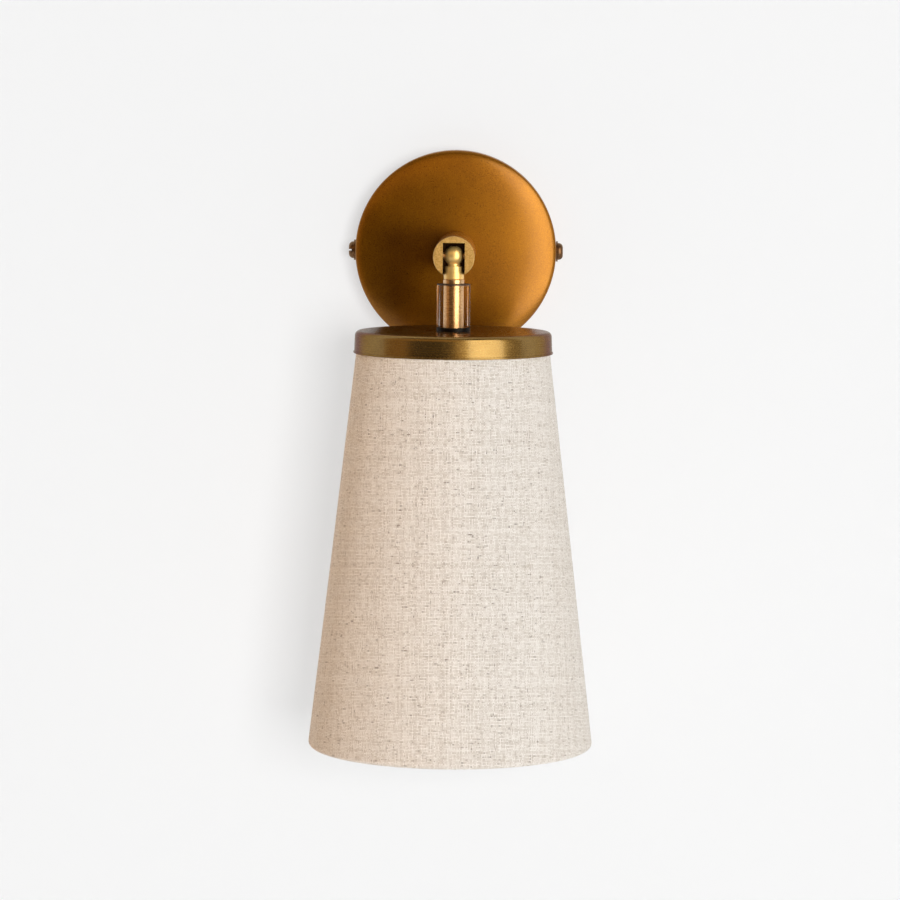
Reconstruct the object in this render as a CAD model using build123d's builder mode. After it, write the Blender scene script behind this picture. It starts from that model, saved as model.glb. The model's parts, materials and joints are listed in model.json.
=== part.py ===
"""A wall light with a tapered linen shade.

A spun brass canopy hides a steel strap on the wall.  A brass arm stands out from
it and ends in a slotted fork, where a ball-ended stem swings up and down between
two pivot screws.  The stem carries a brass cap, the lampholder, the bulb and the
shade.

All sizes are in millimetres.  The wall is the plane y = 0, the light stands out
towards -Y, +Z is up, and the origin is the middle of the canopy on the wall.
"""

import os
from math import atan, cos, degrees, radians, sin, sqrt, tan

from build123d import *

# ---------------------------------------------------------------- clearances
thread_clearance = 0.03      # between a thread and its mate, on the radius
hole_clearance = 0.15        # between a hole and what passes through it
running_clearance = 0.05     # between a pivot point and its seat
seat_gap = 0.02              # between curved faces that lie on each other
cut_margin = 1.0             # how far a cut runs out past the piece
half_plane = 400.0           # side of a cut that takes away all on one side of a line

# ------------------------------------------------------------------- canopy
canopy_radius = 50.0
canopy_depth = 25.0          # from the wall to the middle of the face
canopy_dome = 6.8            # how far the face domes out over its rim
canopy_wall = 1.0

# ------------------------------------------------------------- wall bracket
bracket_thickness = 1.5
bracket_height = 16.0
bracket_bend_radius = 0.6    # inside radius of each bent ear
ear_gap = 0.9                # between an ear and the canopy wall at mid height
ear_depth = 18.0             # from the wall to the end of an ear
bracket_boss_radius = 14.0   # round widening about the cable hole
cable_hole_radius = 7.0
fixing_spacing = 60.0        # between the two slots for the wall screws
fixing_slot_length = 12.0
fixing_slot_radius = 2.25
block_tab_width = 16.0       # tongue that carries the terminal block
block_tab_reach = 36.0
earth_screw_offset = 18.6    # from the middle of the bracket, along the strap

# ---------------------------------------------------------- canopy side screws
side_screw_radius = 2.0
side_screw_length = 9.0
side_screw_head_radius = 4.2
side_screw_head_height = 2.6
side_screw_crown = 2.2       # rounding of the head's edge
side_screw_slot_width = 1.0
side_screw_slot_depth = 1.5
side_screw_turns = {-1: 0.0, 1: 65.0}   # how far each slot is turned, in degrees
side_screw_distance = 12.0              # from the wall
side_washer_radius = 5.1
side_washer_thickness = 0.8

# ------------------------------------------------------------ terminal block
block_ways = 3
block_pitch = 9.0
block_height = 17.0
block_depth = 12.0
block_end_margin = 4.5       # from the last way to the end of the block
block_centre_height = 27.0
block_corner_radius = 1.0
block_relief_width = 2.2     # groove between one way and the next
block_relief_depth = 2.9
way_radius = 2.5
way_wall = 0.8
way_length = 14.0
way_screw_radius = 1.3
way_screw_head_radius = 1.7
way_screw_head_height = 1.6
way_screw_recess = 0.6       # head below the front of the block
way_screw_spacing = 7.5
way_screw_slot_width = 0.5
block_screw_radius = 1.4
block_screw_head_radius = 2.4
block_screw_head_height = 1.8

# ------------------------------------------------------------- earth fittings
earth_screw_radius = 2.0
earth_screw_head_radius = 3.8
earth_screw_head_height = 2.4
earth_screw_slot_width = 1.0
cup_washer_radius = 4.8
cup_washer_thickness = 0.8
cup_washer_notch = 1.8       # lets the earth lead in

# ---------------------------------------------------------------------- arm
arm_radius = 10.0
arm_front = 88.0             # from the wall to the flat front of the arm
arm_edge = 0.3
arm_bore_radius = 3.2        # wireway
arm_socket_depth = 11.0
nipple_radius = 5.0          # M10 x 1 hollow thread
nipple_bore_radius = 3.6
nipple_tail = 11.0           # how far the nipple stands back inside the canopy
hex_nut_across_flats = 14.0
hex_nut_thickness = 3.0
hex_nut_edge = 0.4
lock_washer_radius = 8.6
lock_washer_thickness = 0.8
lock_washer_teeth = 10
lock_washer_notch_radius = 0.9

# -------------------------------------------------------------------- pivot
pivot_distance = 82.0        # from the wall to the pivot
pivot_rise = 0.5             # pivot above the axis of the arm
ball_radius = 4.85
fork_slot_width = 10.6
fork_slot_top = 6.8          # closed end of the fork's slot, above the arm's axis
fork_slot_back = 5.6         # back wall of the slot, behind the pivot
pivot_screw_radius = 2.0
pivot_point_radius = 1.5     # plain tip that seats in the ball
pivot_point_depth = 1.5      # how far the tip goes into the ball
pivot_screw_recess = 0.6     # screw end below the arm's surface
pivot_driver_slot = 0.7
pivot_driver_depth = 1.0
ball_groove_width = 2.0      # lets the leads turn from the arm into the stem

# --------------------------------------------------------------------- stem
waist_radius = 3.0           # between the ball and the neck
neck_radius = 4.5
neck_drop = 5.1              # pivot to the top of the neck
stem_radius = 4.95
shoulder_drop = 7.9          # pivot to the stem's shoulder
knuckle_length = 11.3        # pivot to the end of the ball piece
stem_groove = 0.25           # chamfer that draws the line at each joint
collar_radius = 5.15
collar_length = 2.3
spigot_radius = 3.0          # M6 hollow thread into the ball piece
spigot_length = 8.2
lead_bore_radius = 1.65
stem_bore_radius = 3.4
stem_web = 3.0               # solid length between the two bores
stem_tail = 11.2             # threaded end below the top of the cap
sleeve_washer_thickness = 0.5
sleeve_radius = 8.05
sleeve_wall = 1.2
sleeve_length = 20.5
gasket_thickness = 1.6
gasket_radius = 8.15

# ---------------------------------------------------------------- shade cap
cap_overhang = 2.5           # the cap's lip stands out this far past the shade's top
cap_top_inset = 0.4          # the side wall leans in this much towards the top
cap_height = 10.7
cap_wall = 0.8
cap_edge_radius = 2.4
cap_lip = 0.35               # rolled lower lip, stands proud of the wall
cap_lip_height = 1.0
cap_washer_radius = 10.0
cap_washer_thickness = 1.0

# -------------------------------------------------------------------- shade
shade_top_radius = 45.6
shade_bottom_radius = 69.1
shade_height = 200.4
shade_top_gap = 0.6          # top of the shade below the inside of the cap
fabric_thickness = 0.5
liner_thickness = 0.4
liner_margin = 0.4           # from a ring's hem to the edge of the liner
ring_wire_radius = 1.5
hem_wrap = 195.0             # how far the fabric is rolled round each ring, degrees
fitter_inner_radius = 21.0   # 42 mm hole for the lampholder
fitter_outer_radius = 29.0
fitter_thickness = 1.2
fitter_arm_radius = 1.1
fitter_arm_count = 3
fitter_arm_start = 27.5      # where an arm is welded on, from the axis

# --------------------------------------------------------------- lampholder
holder_neck_radius = 8.0
holder_neck_length = 7.0
holder_dome_drop = 9.0
holder_radius = 19.0
holder_cap_skirt = 7.0
holder_wall = 1.0
skirt_radius = 19.2
skirt_length = 33.0
skirt_wall = 1.6
skirt_lip_radius = 15.0
skirt_lip_thickness = 1.4
skirt_thread_pitch = 2.5
skirt_thread_depth = 0.35
skirt_thread_margin = 2.0    # plain ends above and below the thread
insert_length = 38.0
insert_socket_depth = 27.0
shade_ring_radius = 26.0
shade_ring_thickness = 4.2
shade_ring_flutes = 24
shade_ring_flute_radius = 1.0
holder_screw_offset = 9.5
holder_screw_radius = 1.5
holder_screw_head_radius = 2.6
holder_screw_head_height = 1.8
holder_screw_depth = 5.0
holder_screw_slot_width = 0.7
contact_width = 5.0
contact_thickness = 0.5
contact_drop = 2.6           # centre spring below the roof of the socket
contact_leg_offset = 6.2     # inner face of the centre contact's leg
contact_spring_reach = 5.0   # bend of the centre spring beyond the axis
contact_pad_half = 2.5
shell_contact_width = 4.0
shell_contact_overlap = 3.5  # leg beside the plain top of the screw shell
lead_hole_offset = 5.0

# ------------------------------------------------- screw shells of the E27 pair
screw_mean_radius = 12.65    # middle of the bulb's rolled thread
screw_wave = 0.42            # half the depth of the rolled thread
screw_pitch = 3.62
bulb_screw_turns = 5
holder_screw_turns = 4
screw_sheet = 0.3
screw_mating_gap = 0.25      # between the bulb's thread and the holder's

# --------------------------------------------------------------------- bulb
bulb_length = 108.0
bulb_radius = 30.0
bulb_tip_radius = 4.6
bulb_tip_height = 2.2
bulb_tip_crown = 1.2
bulb_insulator_height = 5.0
bulb_insulator_radius = 11.5
bulb_insulator_top_radius = 6.0
bulb_cap_length = 27.0
bulb_housing_length = 40.0
bulb_housing_wall = 1.4
bulb_neck_radius = 13.5
bulb_diffuser_wall = 1.0
bulb_shell_overlap = 3.5     # housing reaching up into the screw shell
board_thickness = 1.6
board_inset = 2.5            # board above the housing's open end
led_count = 8
led_size = 2.8
led_thickness = 0.7
led_circle_radius = 15.0

# -------------------------------------------------------------------- leads
lead_radius = 0.75
lead_bend_radius = 3.5
lead_gap = 0.1               # between the two leads in the arm and the stem
lead_entry = 4.0             # how far a lead goes into its terminal
lead_lane = 7.5              # distance of the ways from the wall
lead_drop = 4.0              # straight run below the terminal block
lead_end_gap = 1.8           # each lead's end short of the pivot's centre
earth_lead_end = -1.0        # height of the earth lead's end inside its washer
earth_lead_knee = 9.5        # height where the earth lead turns down

# ------------------------------------------------------------ derived places
# local x is the distance from the axis, local y is the distance from the wall
arm_section = Plane(origin=(0, 0, 0), x_dir=(0, 0, 1), z_dir=(1, 0, 0))
# local x is the distance from the axis, local y is the height
stem_section = Plane.XZ.offset(pivot_distance)
stem_axis = Axis((0, -pivot_distance, 0), (0, 0, 1))

canopy_inner_face = canopy_depth - canopy_wall
ear_face = canopy_radius - canopy_wall - ear_gap
arm_back = canopy_depth
fork_back = pivot_distance - fork_slot_back
lock_washer_slope = sqrt(1 - (lock_washer_radius / (canopy_radius - canopy_wall)) ** 2)
lock_washer_front = (
    canopy_inner_face - (canopy_dome - canopy_wall) * (1 - lock_washer_slope) - seat_gap
)
lock_washer_back = lock_washer_front - lock_washer_thickness
nipple_end = canopy_inner_face - nipple_tail
side_washer_seat = canopy_radius + seat_gap
side_screw_seat = side_washer_seat + side_washer_thickness

block_back = bracket_thickness
block_front = block_back + block_depth
block_bottom = block_centre_height - block_height / 2
block_screw_seat = block_front - block_relief_depth
cup_washer_depth = 2 * lead_radius + lead_gap
cup_washer_front = bracket_thickness + cup_washer_depth + cup_washer_thickness
lead_offset = lead_radius + lead_gap / 2
earth_lead_side = earth_screw_offset - earth_screw_radius - lead_radius - lead_gap

neck_top = pivot_rise - neck_drop
shoulder_height = pivot_rise - shoulder_drop
knuckle_end = pivot_rise - knuckle_length
collar_end = knuckle_end - collar_length
stem_top = collar_end - sleeve_washer_thickness
spigot_top = stem_top + spigot_length
sleeve_top = stem_top - seat_gap
sleeve_end = sleeve_top - sleeve_length
gasket_end = sleeve_end - gasket_thickness
cap_top = gasket_end - seat_gap
cap_inside = cap_top - cap_wall
cap_bottom = cap_top - cap_height
cap_radius = shade_top_radius + cap_overhang
cap_wall_radius = cap_radius - cap_lip
cap_washer_end = cap_inside - cap_washer_thickness
cap_nut_end = cap_washer_end - hex_nut_thickness
stem_end = cap_top - stem_tail

shade_top = cap_inside - shade_top_gap
shade_bottom = shade_top - shade_height
taper = (shade_bottom_radius - shade_top_radius) / shade_height
lean = atan(taper)
hem_inner_radius = ring_wire_radius + seat_gap
hem_radius = hem_inner_radius + fabric_thickness


def shade_radius(height):
    """Outer radius of the fabric's straight cone at a height."""
    return shade_top_radius + taper * (shade_top - height)


def inside_shade(height, depth):
    """Point of the section at a depth under the fabric's outer face."""
    return (shade_radius(height) - depth / cos(lean), height)


top_ring = inside_shade(shade_top - hem_radius, hem_radius)
bottom_ring = inside_shade(shade_bottom + hem_radius, hem_radius)

holder_top = cap_nut_end - hole_clearance
holder_shoulder = holder_top - holder_neck_length
holder_rim = holder_shoulder - holder_dome_drop
holder_cap_end = holder_rim - holder_cap_skirt
skirt_top = holder_cap_end - seat_gap
skirt_bottom = skirt_top - skirt_length
skirt_inner_radius = skirt_radius - skirt_wall
insert_radius = skirt_inner_radius - hole_clearance
insert_bottom = skirt_bottom + skirt_lip_thickness + seat_gap
insert_top = insert_bottom + insert_length
socket_top = insert_bottom + insert_socket_depth
holder_screw_seat = insert_top + contact_thickness
holder_screw_mean = screw_mean_radius + screw_sheet + screw_mating_gap
holder_shell_outer = holder_screw_mean + screw_wave + screw_sheet
shell_contact_face = holder_screw_mean + screw_sheet + seat_gap
fitter_top = skirt_top - 2 * shade_ring_thickness
fitter_bottom = fitter_top - fitter_thickness

contact_pad_bottom = socket_top - contact_drop - contact_thickness
bulb_tip = contact_pad_bottom - seat_gap
insulator_top = bulb_tip - bulb_tip_height
screw_shell_top = insulator_top - bulb_insulator_height
bulb_cap_end = bulb_tip - bulb_cap_length
bulb_housing_end = bulb_cap_end - bulb_housing_length
bulb_end = bulb_tip - bulb_length
globe_centre = bulb_end + bulb_radius
globe_rim_radius = sqrt(bulb_radius**2 - (bulb_housing_end - globe_centre) ** 2)
housing_slope = atan((globe_rim_radius - bulb_neck_radius) / bulb_housing_length)
board_bottom = bulb_housing_end + board_inset
board_radius = (
    globe_rim_radius
    - bulb_housing_wall / cos(housing_slope)
    - (board_inset + board_thickness) * tan(housing_slope)
    - hole_clearance
)


# ------------------------------------------------------- shapes used more often
def stack(*steps, mode=Mode.ADD):
    """Half section of a turned piece: (radius, far end, near end) of each step."""
    for radius, far, near in steps:
        with Locations((0, (far + near) / 2)):
            Rectangle(radius, far - near, align=(Align.MIN, Align.CENTER), mode=mode)


def bore(*steps):
    """As stack, but taken away."""
    stack(*steps, mode=Mode.SUBTRACT)


def keep_half():
    """Takes away what the sketch holds on the far side of the axis."""
    with Locations((0, 0)):
        Rectangle(
            half_plane,
            2 * half_plane,
            align=(Align.MAX, Align.CENTER),
            mode=Mode.SUBTRACT,
        )


def driver_slot(head_radius, width, turn=0):
    """Outline of a screwdriver slot that runs right across a head."""
    Rectangle(2 * (head_radius + cut_margin), width, rotation=turn)


def rolled_sheet(mean_radius, top, turns):
    """Section of a rolled screw thread in thin sheet, arcs out and in, going down."""
    half = screw_pitch / 2
    bottom = top - 2 * turns * half
    with BuildLine() as outline:
        for face in (mean_radius, mean_radius + screw_sheet):
            for turn in range(2 * turns):
                start = top - turn * half
                bulge = screw_wave if turn % 2 == 0 else -screw_wave
                ThreePointArc(
                    (face, start), (face + bulge, start - half / 2), (face, start - half)
                )
        Line((mean_radius, top), (mean_radius + screw_sheet, top))
        Line((mean_radius, bottom), (mean_radius + screw_sheet, bottom))
    make_face(outline.edges())


def lead(points, radii):
    """Sweeps a round lead along straight runs joined by arcs."""
    with BuildLine() as path:
        route = FilletPolyline(*points, radius=radii)
    with BuildSketch(Plane(origin=route @ 0, z_dir=route % 0)) as section:
        Circle(lead_radius)
    sweep(section.sketch, path=path.line)


def hex_nut(plane, bore_radius):
    """Adds a hexagon nut with broken edges, growing out of a plane."""
    with BuildSketch(plane) as hexagon:
        RegularPolygon(hex_nut_across_flats / 2, 6, major_radius=False)
        Circle(bore_radius, mode=Mode.SUBTRACT)
    extrude(hexagon.sketch, amount=hex_nut_thickness)


def write(node, name):
    """Labels a finished piece and writes its STEP file."""
    node.part.label = name
    export_step(node.part, f"parts/{name}.step")


os.makedirs("parts", exist_ok=True)

# ============================================================ on the wall
# Steel strap: two slots for wall screws, a cable hole, and an ear bent out at
# each end that the canopy's side screws go into.
with BuildPart() as wall_bracket:
    with BuildSketch(Plane.XZ):
        Rectangle(2 * ear_face, bracket_height)
        Circle(bracket_boss_radius)
        Rectangle(block_tab_width, block_tab_reach, align=(Align.CENTER, Align.MIN))
        Circle(cable_hole_radius, mode=Mode.SUBTRACT)
        with GridLocations(fixing_spacing, 0, 2, 1):
            SlotOverall(fixing_slot_length, 2 * fixing_slot_radius, mode=Mode.SUBTRACT)
        with Locations((-earth_screw_offset, 0)):
            Circle(earth_screw_radius + thread_clearance, mode=Mode.SUBTRACT)
        with Locations((block_pitch / 2, block_centre_height)):
            Circle(block_screw_radius + thread_clearance, mode=Mode.SUBTRACT)
    extrude(amount=bracket_thickness)
    with BuildSketch(Plane.XZ.offset(bracket_thickness)):
        with GridLocations(2 * ear_face - bracket_thickness, 0, 2, 1):
            Rectangle(bracket_thickness, bracket_height)
    extrude(amount=ear_depth - bracket_thickness)
    for face, bend in (
        (-bracket_thickness, bracket_bend_radius),
        (0, bracket_bend_radius + bracket_thickness),
    ):
        corners = wall_bracket.edges().filter_by(Axis.Z)
        corners = corners.filter_by_position(Axis.Y, face, face).sort_by(Axis.X)
        fillet([corners[0], corners[-1]], bend)
    with BuildSketch(Plane.YZ.offset(-canopy_radius)):
        with Locations((-side_screw_distance, 0)):
            Circle(side_screw_radius + thread_clearance)
    extrude(amount=2 * canopy_radius, mode=Mode.SUBTRACT)
write(wall_bracket, "wall_bracket")

# The canopy is a spun cup: half an ellipse across its face, and a straight side.
with BuildPart() as canopy:
    for skin, back, mode in (
        (0, 0, Mode.ADD),
        (canopy_wall, -cut_margin, Mode.SUBTRACT),
    ):
        rim = canopy_radius - skin
        dome = canopy_dome - skin
        with BuildSketch(arm_section):
            with BuildLine():
                face = EllipticalCenterArc((0, canopy_depth - canopy_dome), rim, dome, arc_size=90)
                Polyline(face @ 0, (rim, back), (0, back), face @ 1)
            make_face()
        revolve(axis=Axis.Y, mode=mode)
    with BuildSketch(Plane.XZ):
        Circle(nipple_radius + hole_clearance)
    extrude(amount=canopy_depth + cut_margin, mode=Mode.SUBTRACT)
    with BuildSketch(Plane.YZ.offset(-canopy_radius - cut_margin)):
        with Locations((-side_screw_distance, 0)):
            Circle(side_screw_radius + hole_clearance)
    extrude(amount=2 * (canopy_radius + cut_margin), mode=Mode.SUBTRACT)
write(canopy, "canopy")

with BuildPart() as canopy_screw_washers:
    for side in (-1, 1):
        with BuildSketch(Plane.YZ.offset(side * side_washer_seat)):
            with Locations((-side_screw_distance, 0)):
                Circle(side_washer_radius)
                Circle(side_screw_radius + hole_clearance, mode=Mode.SUBTRACT)
        extrude(amount=side * side_washer_thickness)
write(canopy_screw_washers, "canopy_screw_washers")

with BuildPart() as canopy_screws:
    for side, turn in side_screw_turns.items():
        seat = Plane(
            origin=(side * side_screw_seat, -side_screw_distance, 0),
            x_dir=(0, 1, 0),
            z_dir=(side, 0, 0),
        )
        with BuildSketch(seat):
            Circle(side_screw_head_radius)
        extrude(amount=side_screw_head_height)
        rims = canopy_screws.edges().sort_by(Axis.X)
        fillet(rims[0] if side < 0 else rims[-1], side_screw_crown)
        with BuildSketch(seat):
            Circle(side_screw_radius)
        extrude(amount=-side_screw_length)
        with BuildSketch(seat.offset(side_screw_head_height)):
            driver_slot(side_screw_head_radius, side_screw_slot_width, turn)
        extrude(amount=-side_screw_slot_depth, mode=Mode.SUBTRACT)
write(canopy_screws, "canopy_screws")

# ------------------------------------------------------- terminal block
way_places = [block_pitch * (way - (block_ways - 1) / 2) for way in range(block_ways)]
way_section = Plane.XY.offset(block_bottom)
way_screw_rows = (-way_screw_spacing / 2, way_screw_spacing / 2)
way_screw_tip = lead_lane + way_radius - way_wall
way_screw_seat = block_front - way_screw_recess - way_screw_head_height

with BuildPart() as terminal_block:
    with BuildSketch(Plane.XZ.offset(block_back)):
        with Locations((0, block_centre_height)):
            RectangleRounded(
                (block_ways - 1) * block_pitch + 2 * block_end_margin,
                block_height,
                block_corner_radius,
            )
    extrude(amount=block_depth)
    with BuildSketch(Plane.XZ.offset(block_front)):
        with Locations((0, block_centre_height)):
            with GridLocations(block_pitch, 0, block_ways - 1, 1):
                Rectangle(block_relief_width, block_height + cut_margin)
    extrude(amount=-block_relief_depth, mode=Mode.SUBTRACT)
    with BuildSketch(way_section):
        for place in way_places:
            with Locations((place, -lead_lane)):
                Circle(way_radius + hole_clearance)
    extrude(amount=block_height, mode=Mode.SUBTRACT)
    with BuildSketch(Plane.XZ.offset(lead_lane)):
        for place in way_places:
            with Locations((place, block_centre_height)):
                with GridLocations(0, way_screw_spacing, 1, 2):
                    Circle(way_screw_head_radius + hole_clearance)
    extrude(amount=block_depth, mode=Mode.SUBTRACT)
    with BuildSketch(Plane.XZ.offset(block_screw_seat)):
        with Locations((block_pitch / 2, block_centre_height)):
            Circle(block_screw_head_radius + hole_clearance)
    extrude(amount=block_relief_depth, mode=Mode.SUBTRACT)
    with BuildSketch(Plane.XZ.offset(block_back)):
        with Locations((block_pitch / 2, block_centre_height)):
            Circle(block_screw_radius + hole_clearance)
    extrude(amount=block_depth, mode=Mode.SUBTRACT)
write(terminal_block, "terminal_block")

with BuildPart() as terminal_tubes:
    for place in way_places:
        with BuildSketch(way_section.offset((block_height - way_length) / 2)):
            with Locations((place, -lead_lane)):
                Circle(way_radius)
                Circle(way_radius - way_wall, mode=Mode.SUBTRACT)
        extrude(amount=way_length)
        with BuildSketch(Plane.XZ.offset(lead_lane)):
            with Locations((place, block_centre_height)):
                with GridLocations(0, way_screw_spacing, 1, 2):
                    Circle(way_screw_radius + thread_clearance)
        extrude(amount=way_radius + cut_margin, mode=Mode.SUBTRACT)
write(terminal_tubes, "terminal_tubes")

with BuildPart() as terminal_screws:
    for place in way_places:
        for row in way_screw_rows:
            with BuildSketch(Plane.XZ.offset(way_screw_tip)):
                with Locations((place, block_centre_height + row)):
                    Circle(way_screw_radius)
            extrude(amount=way_screw_seat - way_screw_tip)
            with BuildSketch(Plane.XZ.offset(way_screw_seat)):
                with Locations((place, block_centre_height + row)):
                    Circle(way_screw_head_radius)
            extrude(amount=way_screw_head_height)
            with BuildSketch(Plane.XZ.offset(way_screw_seat + way_screw_head_height)):
                with Locations((place, block_centre_height + row)):
                    driver_slot(way_screw_head_radius, way_screw_slot_width)
            extrude(amount=-way_screw_head_height / 2, mode=Mode.SUBTRACT)
write(terminal_screws, "terminal_screws")

with BuildPart() as block_screw:
    with BuildSketch(Plane.XZ.offset(block_screw_seat)):
        with Locations((block_pitch / 2, block_centre_height)):
            Circle(block_screw_head_radius)
    extrude(amount=block_screw_head_height)
    with BuildSketch(Plane.XZ):
        with Locations((block_pitch / 2, block_centre_height)):
            Circle(block_screw_radius)
    extrude(amount=block_screw_seat)
    with BuildSketch(Plane.XZ.offset(block_screw_seat + block_screw_head_height)):
        with Locations((block_pitch / 2, block_centre_height)):
            driver_slot(block_screw_head_radius, way_screw_slot_width)
    extrude(amount=-block_screw_head_height / 2, mode=Mode.SUBTRACT)
write(block_screw, "block_screw")

# ------------------------------------------------------- earth connection
with BuildPart() as earth_cup_washer:
    with BuildSketch(Plane.XZ.offset(bracket_thickness)):
        with Locations((-earth_screw_offset, 0)):
            Circle(cup_washer_radius)
    extrude(amount=cup_washer_depth + cup_washer_thickness)
    with BuildSketch(Plane.XZ.offset(bracket_thickness)):
        with Locations((-earth_screw_offset, 0)):
            Circle(cup_washer_radius - cup_washer_thickness)
        with Locations((-earth_lead_side, 0)):
            Rectangle(
                cup_washer_notch, 2 * cup_washer_radius, align=(Align.CENTER, Align.MIN)
            )
    extrude(amount=cup_washer_depth, mode=Mode.SUBTRACT)
    with BuildSketch(Plane.XZ):
        with Locations((-earth_screw_offset, 0)):
            Circle(earth_screw_radius + hole_clearance)
    extrude(amount=cup_washer_front + cut_margin, mode=Mode.SUBTRACT)
write(earth_cup_washer, "earth_cup_washer")

with BuildPart() as earth_screw:
    with BuildSketch(Plane.XZ.offset(cup_washer_front)):
        with Locations((-earth_screw_offset, 0)):
            Circle(earth_screw_head_radius)
    extrude(amount=earth_screw_head_height)
    fillet(earth_screw.edges().sort_by(Axis.Y)[0], earth_screw_head_height / 2)
    with BuildSketch(Plane.XZ):
        with Locations((-earth_screw_offset, 0)):
            Circle(earth_screw_radius)
    extrude(amount=cup_washer_front)
    with BuildSketch(Plane.XZ.offset(cup_washer_front + earth_screw_head_height)):
        with Locations((-earth_screw_offset, 0)):
            driver_slot(earth_screw_head_radius, earth_screw_slot_width)
    extrude(amount=-earth_screw_head_height / 2, mode=Mode.SUBTRACT)
write(earth_screw, "earth_screw")

# =================================================================== arm
with BuildPart() as arm:
    with BuildSketch(arm_section):
        stack((arm_radius, arm_front, arm_back))
    revolve(axis=Axis.Y)
    chamfer(arm.edges().filter_by(GeomType.CIRCLE), arm_edge)
    with BuildSketch(Plane.XZ.offset(arm_back)):
        Circle(nipple_radius + thread_clearance)
    extrude(amount=arm_socket_depth + seat_gap, mode=Mode.SUBTRACT)
    with BuildSketch(Plane.XZ.offset(arm_back)):
        Circle(arm_bore_radius)
    extrude(amount=arm_front - arm_back, mode=Mode.SUBTRACT)
    with BuildSketch(Plane.XZ.offset(fork_back)):
        with Locations((0, fork_slot_top)):
            Rectangle(
                fork_slot_width,
                fork_slot_top + arm_radius + cut_margin,
                align=(Align.CENTER, Align.MAX),
            )
    extrude(amount=arm_front - fork_back + cut_margin, mode=Mode.SUBTRACT)
    with BuildSketch(Plane.YZ.offset(-arm_radius - cut_margin)):
        with Locations((-pivot_distance, pivot_rise)):
            Circle(pivot_screw_radius + thread_clearance)
    extrude(amount=2 * (arm_radius + cut_margin), mode=Mode.SUBTRACT)
write(arm, "arm")

with BuildPart() as arm_nipple:
    with BuildSketch(arm_section):
        stack((nipple_radius, arm_back + arm_socket_depth, nipple_end))
        bore((nipple_bore_radius, arm_back + arm_socket_depth, nipple_end))
    revolve(axis=Axis.Y)
write(arm_nipple, "arm_nipple")

with BuildPart() as arm_lock_washer:
    with BuildSketch(Plane.XZ.offset(lock_washer_back)):
        Circle(lock_washer_radius)
        Circle(nipple_radius + hole_clearance, mode=Mode.SUBTRACT)
        with PolarLocations(lock_washer_radius, lock_washer_teeth):
            Circle(lock_washer_notch_radius, mode=Mode.SUBTRACT)
    extrude(amount=lock_washer_thickness)
write(arm_lock_washer, "arm_lock_washer")

with BuildPart() as arm_lock_nut:
    hex_nut(
        Plane.XZ.offset(lock_washer_back - hex_nut_thickness),
        nipple_radius + thread_clearance,
    )
    chamfer(
        arm_lock_nut.edges().filter_by(GeomType.LINE).group_by(Axis.Y)[-1], hex_nut_edge
    )
write(arm_lock_nut, "arm_lock_nut")

# Two grub screws with plain points carry the ball between the fork's cheeks.
with BuildPart() as pivot_screws:
    for side in (-1, 1):
        cheek = Plane(
            origin=(side * fork_slot_width / 2, -pivot_distance, pivot_rise),
            x_dir=(0, 1, 0),
            z_dir=(side, 0, 0),
        )
        screw_length = arm_radius - pivot_screw_recess - fork_slot_width / 2
        with BuildSketch(cheek):
            Circle(pivot_screw_radius)
        extrude(amount=screw_length)
        with BuildSketch(cheek):
            Circle(pivot_point_radius)
        extrude(amount=ball_radius - pivot_point_depth - fork_slot_width / 2)
        with BuildSketch(cheek.offset(screw_length)):
            driver_slot(pivot_screw_radius, pivot_driver_slot)
        extrude(amount=-pivot_driver_depth, mode=Mode.SUBTRACT)
write(pivot_screws, "pivot_screws")

# ================================================================== stem
groove_margin = lead_offset + lead_radius + hole_clearance

with BuildPart() as swivel_ball:
    with BuildSketch(stem_section):
        with Locations((0, pivot_rise)):
            Circle(ball_radius)
        stack(
            (waist_radius, pivot_rise, neck_top),
            (neck_radius, neck_top, shoulder_height),
            (stem_radius, shoulder_height, knuckle_end),
        )
        keep_half()
        bore((lead_bore_radius, pivot_rise, knuckle_end))
        bore((spigot_radius + thread_clearance, spigot_top + seat_gap, knuckle_end))
    revolve(axis=stem_axis)
    rims = swivel_ball.edges().filter_by(GeomType.CIRCLE).group_by(Axis.Z)[0]
    chamfer(rims.sort_by(SortBy.RADIUS)[-1], stem_groove)
    with BuildSketch(Plane.YZ.offset(-ball_groove_width / 2)):
        with Locations((-pivot_distance - groove_margin, pivot_rise - groove_margin)):
            Rectangle(
                2 * ball_radius, 2 * ball_radius, align=(Align.MIN, Align.MIN)
            )
    extrude(amount=ball_groove_width, mode=Mode.SUBTRACT)
    for side in (-1, 1):
        with BuildSketch(
            Plane.YZ.offset(side * (ball_radius - pivot_point_depth - seat_gap))
        ):
            with Locations((-pivot_distance, pivot_rise)):
                Circle(pivot_point_radius + running_clearance)
        extrude(amount=side * ball_radius, mode=Mode.SUBTRACT)
write(swivel_ball, "swivel_ball")

with BuildPart() as stem_collar:
    with BuildSketch(stem_section):
        stack((collar_radius, knuckle_end, collar_end))
        bore((spigot_radius + hole_clearance, knuckle_end, collar_end))
    revolve(axis=stem_axis)
    outer_rims = stem_collar.edges().filter_by(GeomType.CIRCLE)
    chamfer(outer_rims.sort_by(SortBy.RADIUS)[-2:], stem_groove)
write(stem_collar, "stem_collar")

with BuildPart() as sleeve_washer:
    with BuildSketch(stem_section):
        stack((sleeve_radius, collar_end, stem_top))
        bore((spigot_radius + hole_clearance, collar_end, stem_top))
    revolve(axis=stem_axis)
write(sleeve_washer, "sleeve_washer")

with BuildPart() as stem_tube:
    with BuildSketch(stem_section):
        stack(
            (spigot_radius, spigot_top, stem_top),
            (stem_radius, stem_top, stem_end),
        )
        bore(
            (lead_bore_radius, spigot_top, stem_end),
            (stem_bore_radius, stem_top - stem_web, stem_end),
        )
    revolve(axis=stem_axis)
write(stem_tube, "stem_tube")

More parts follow.
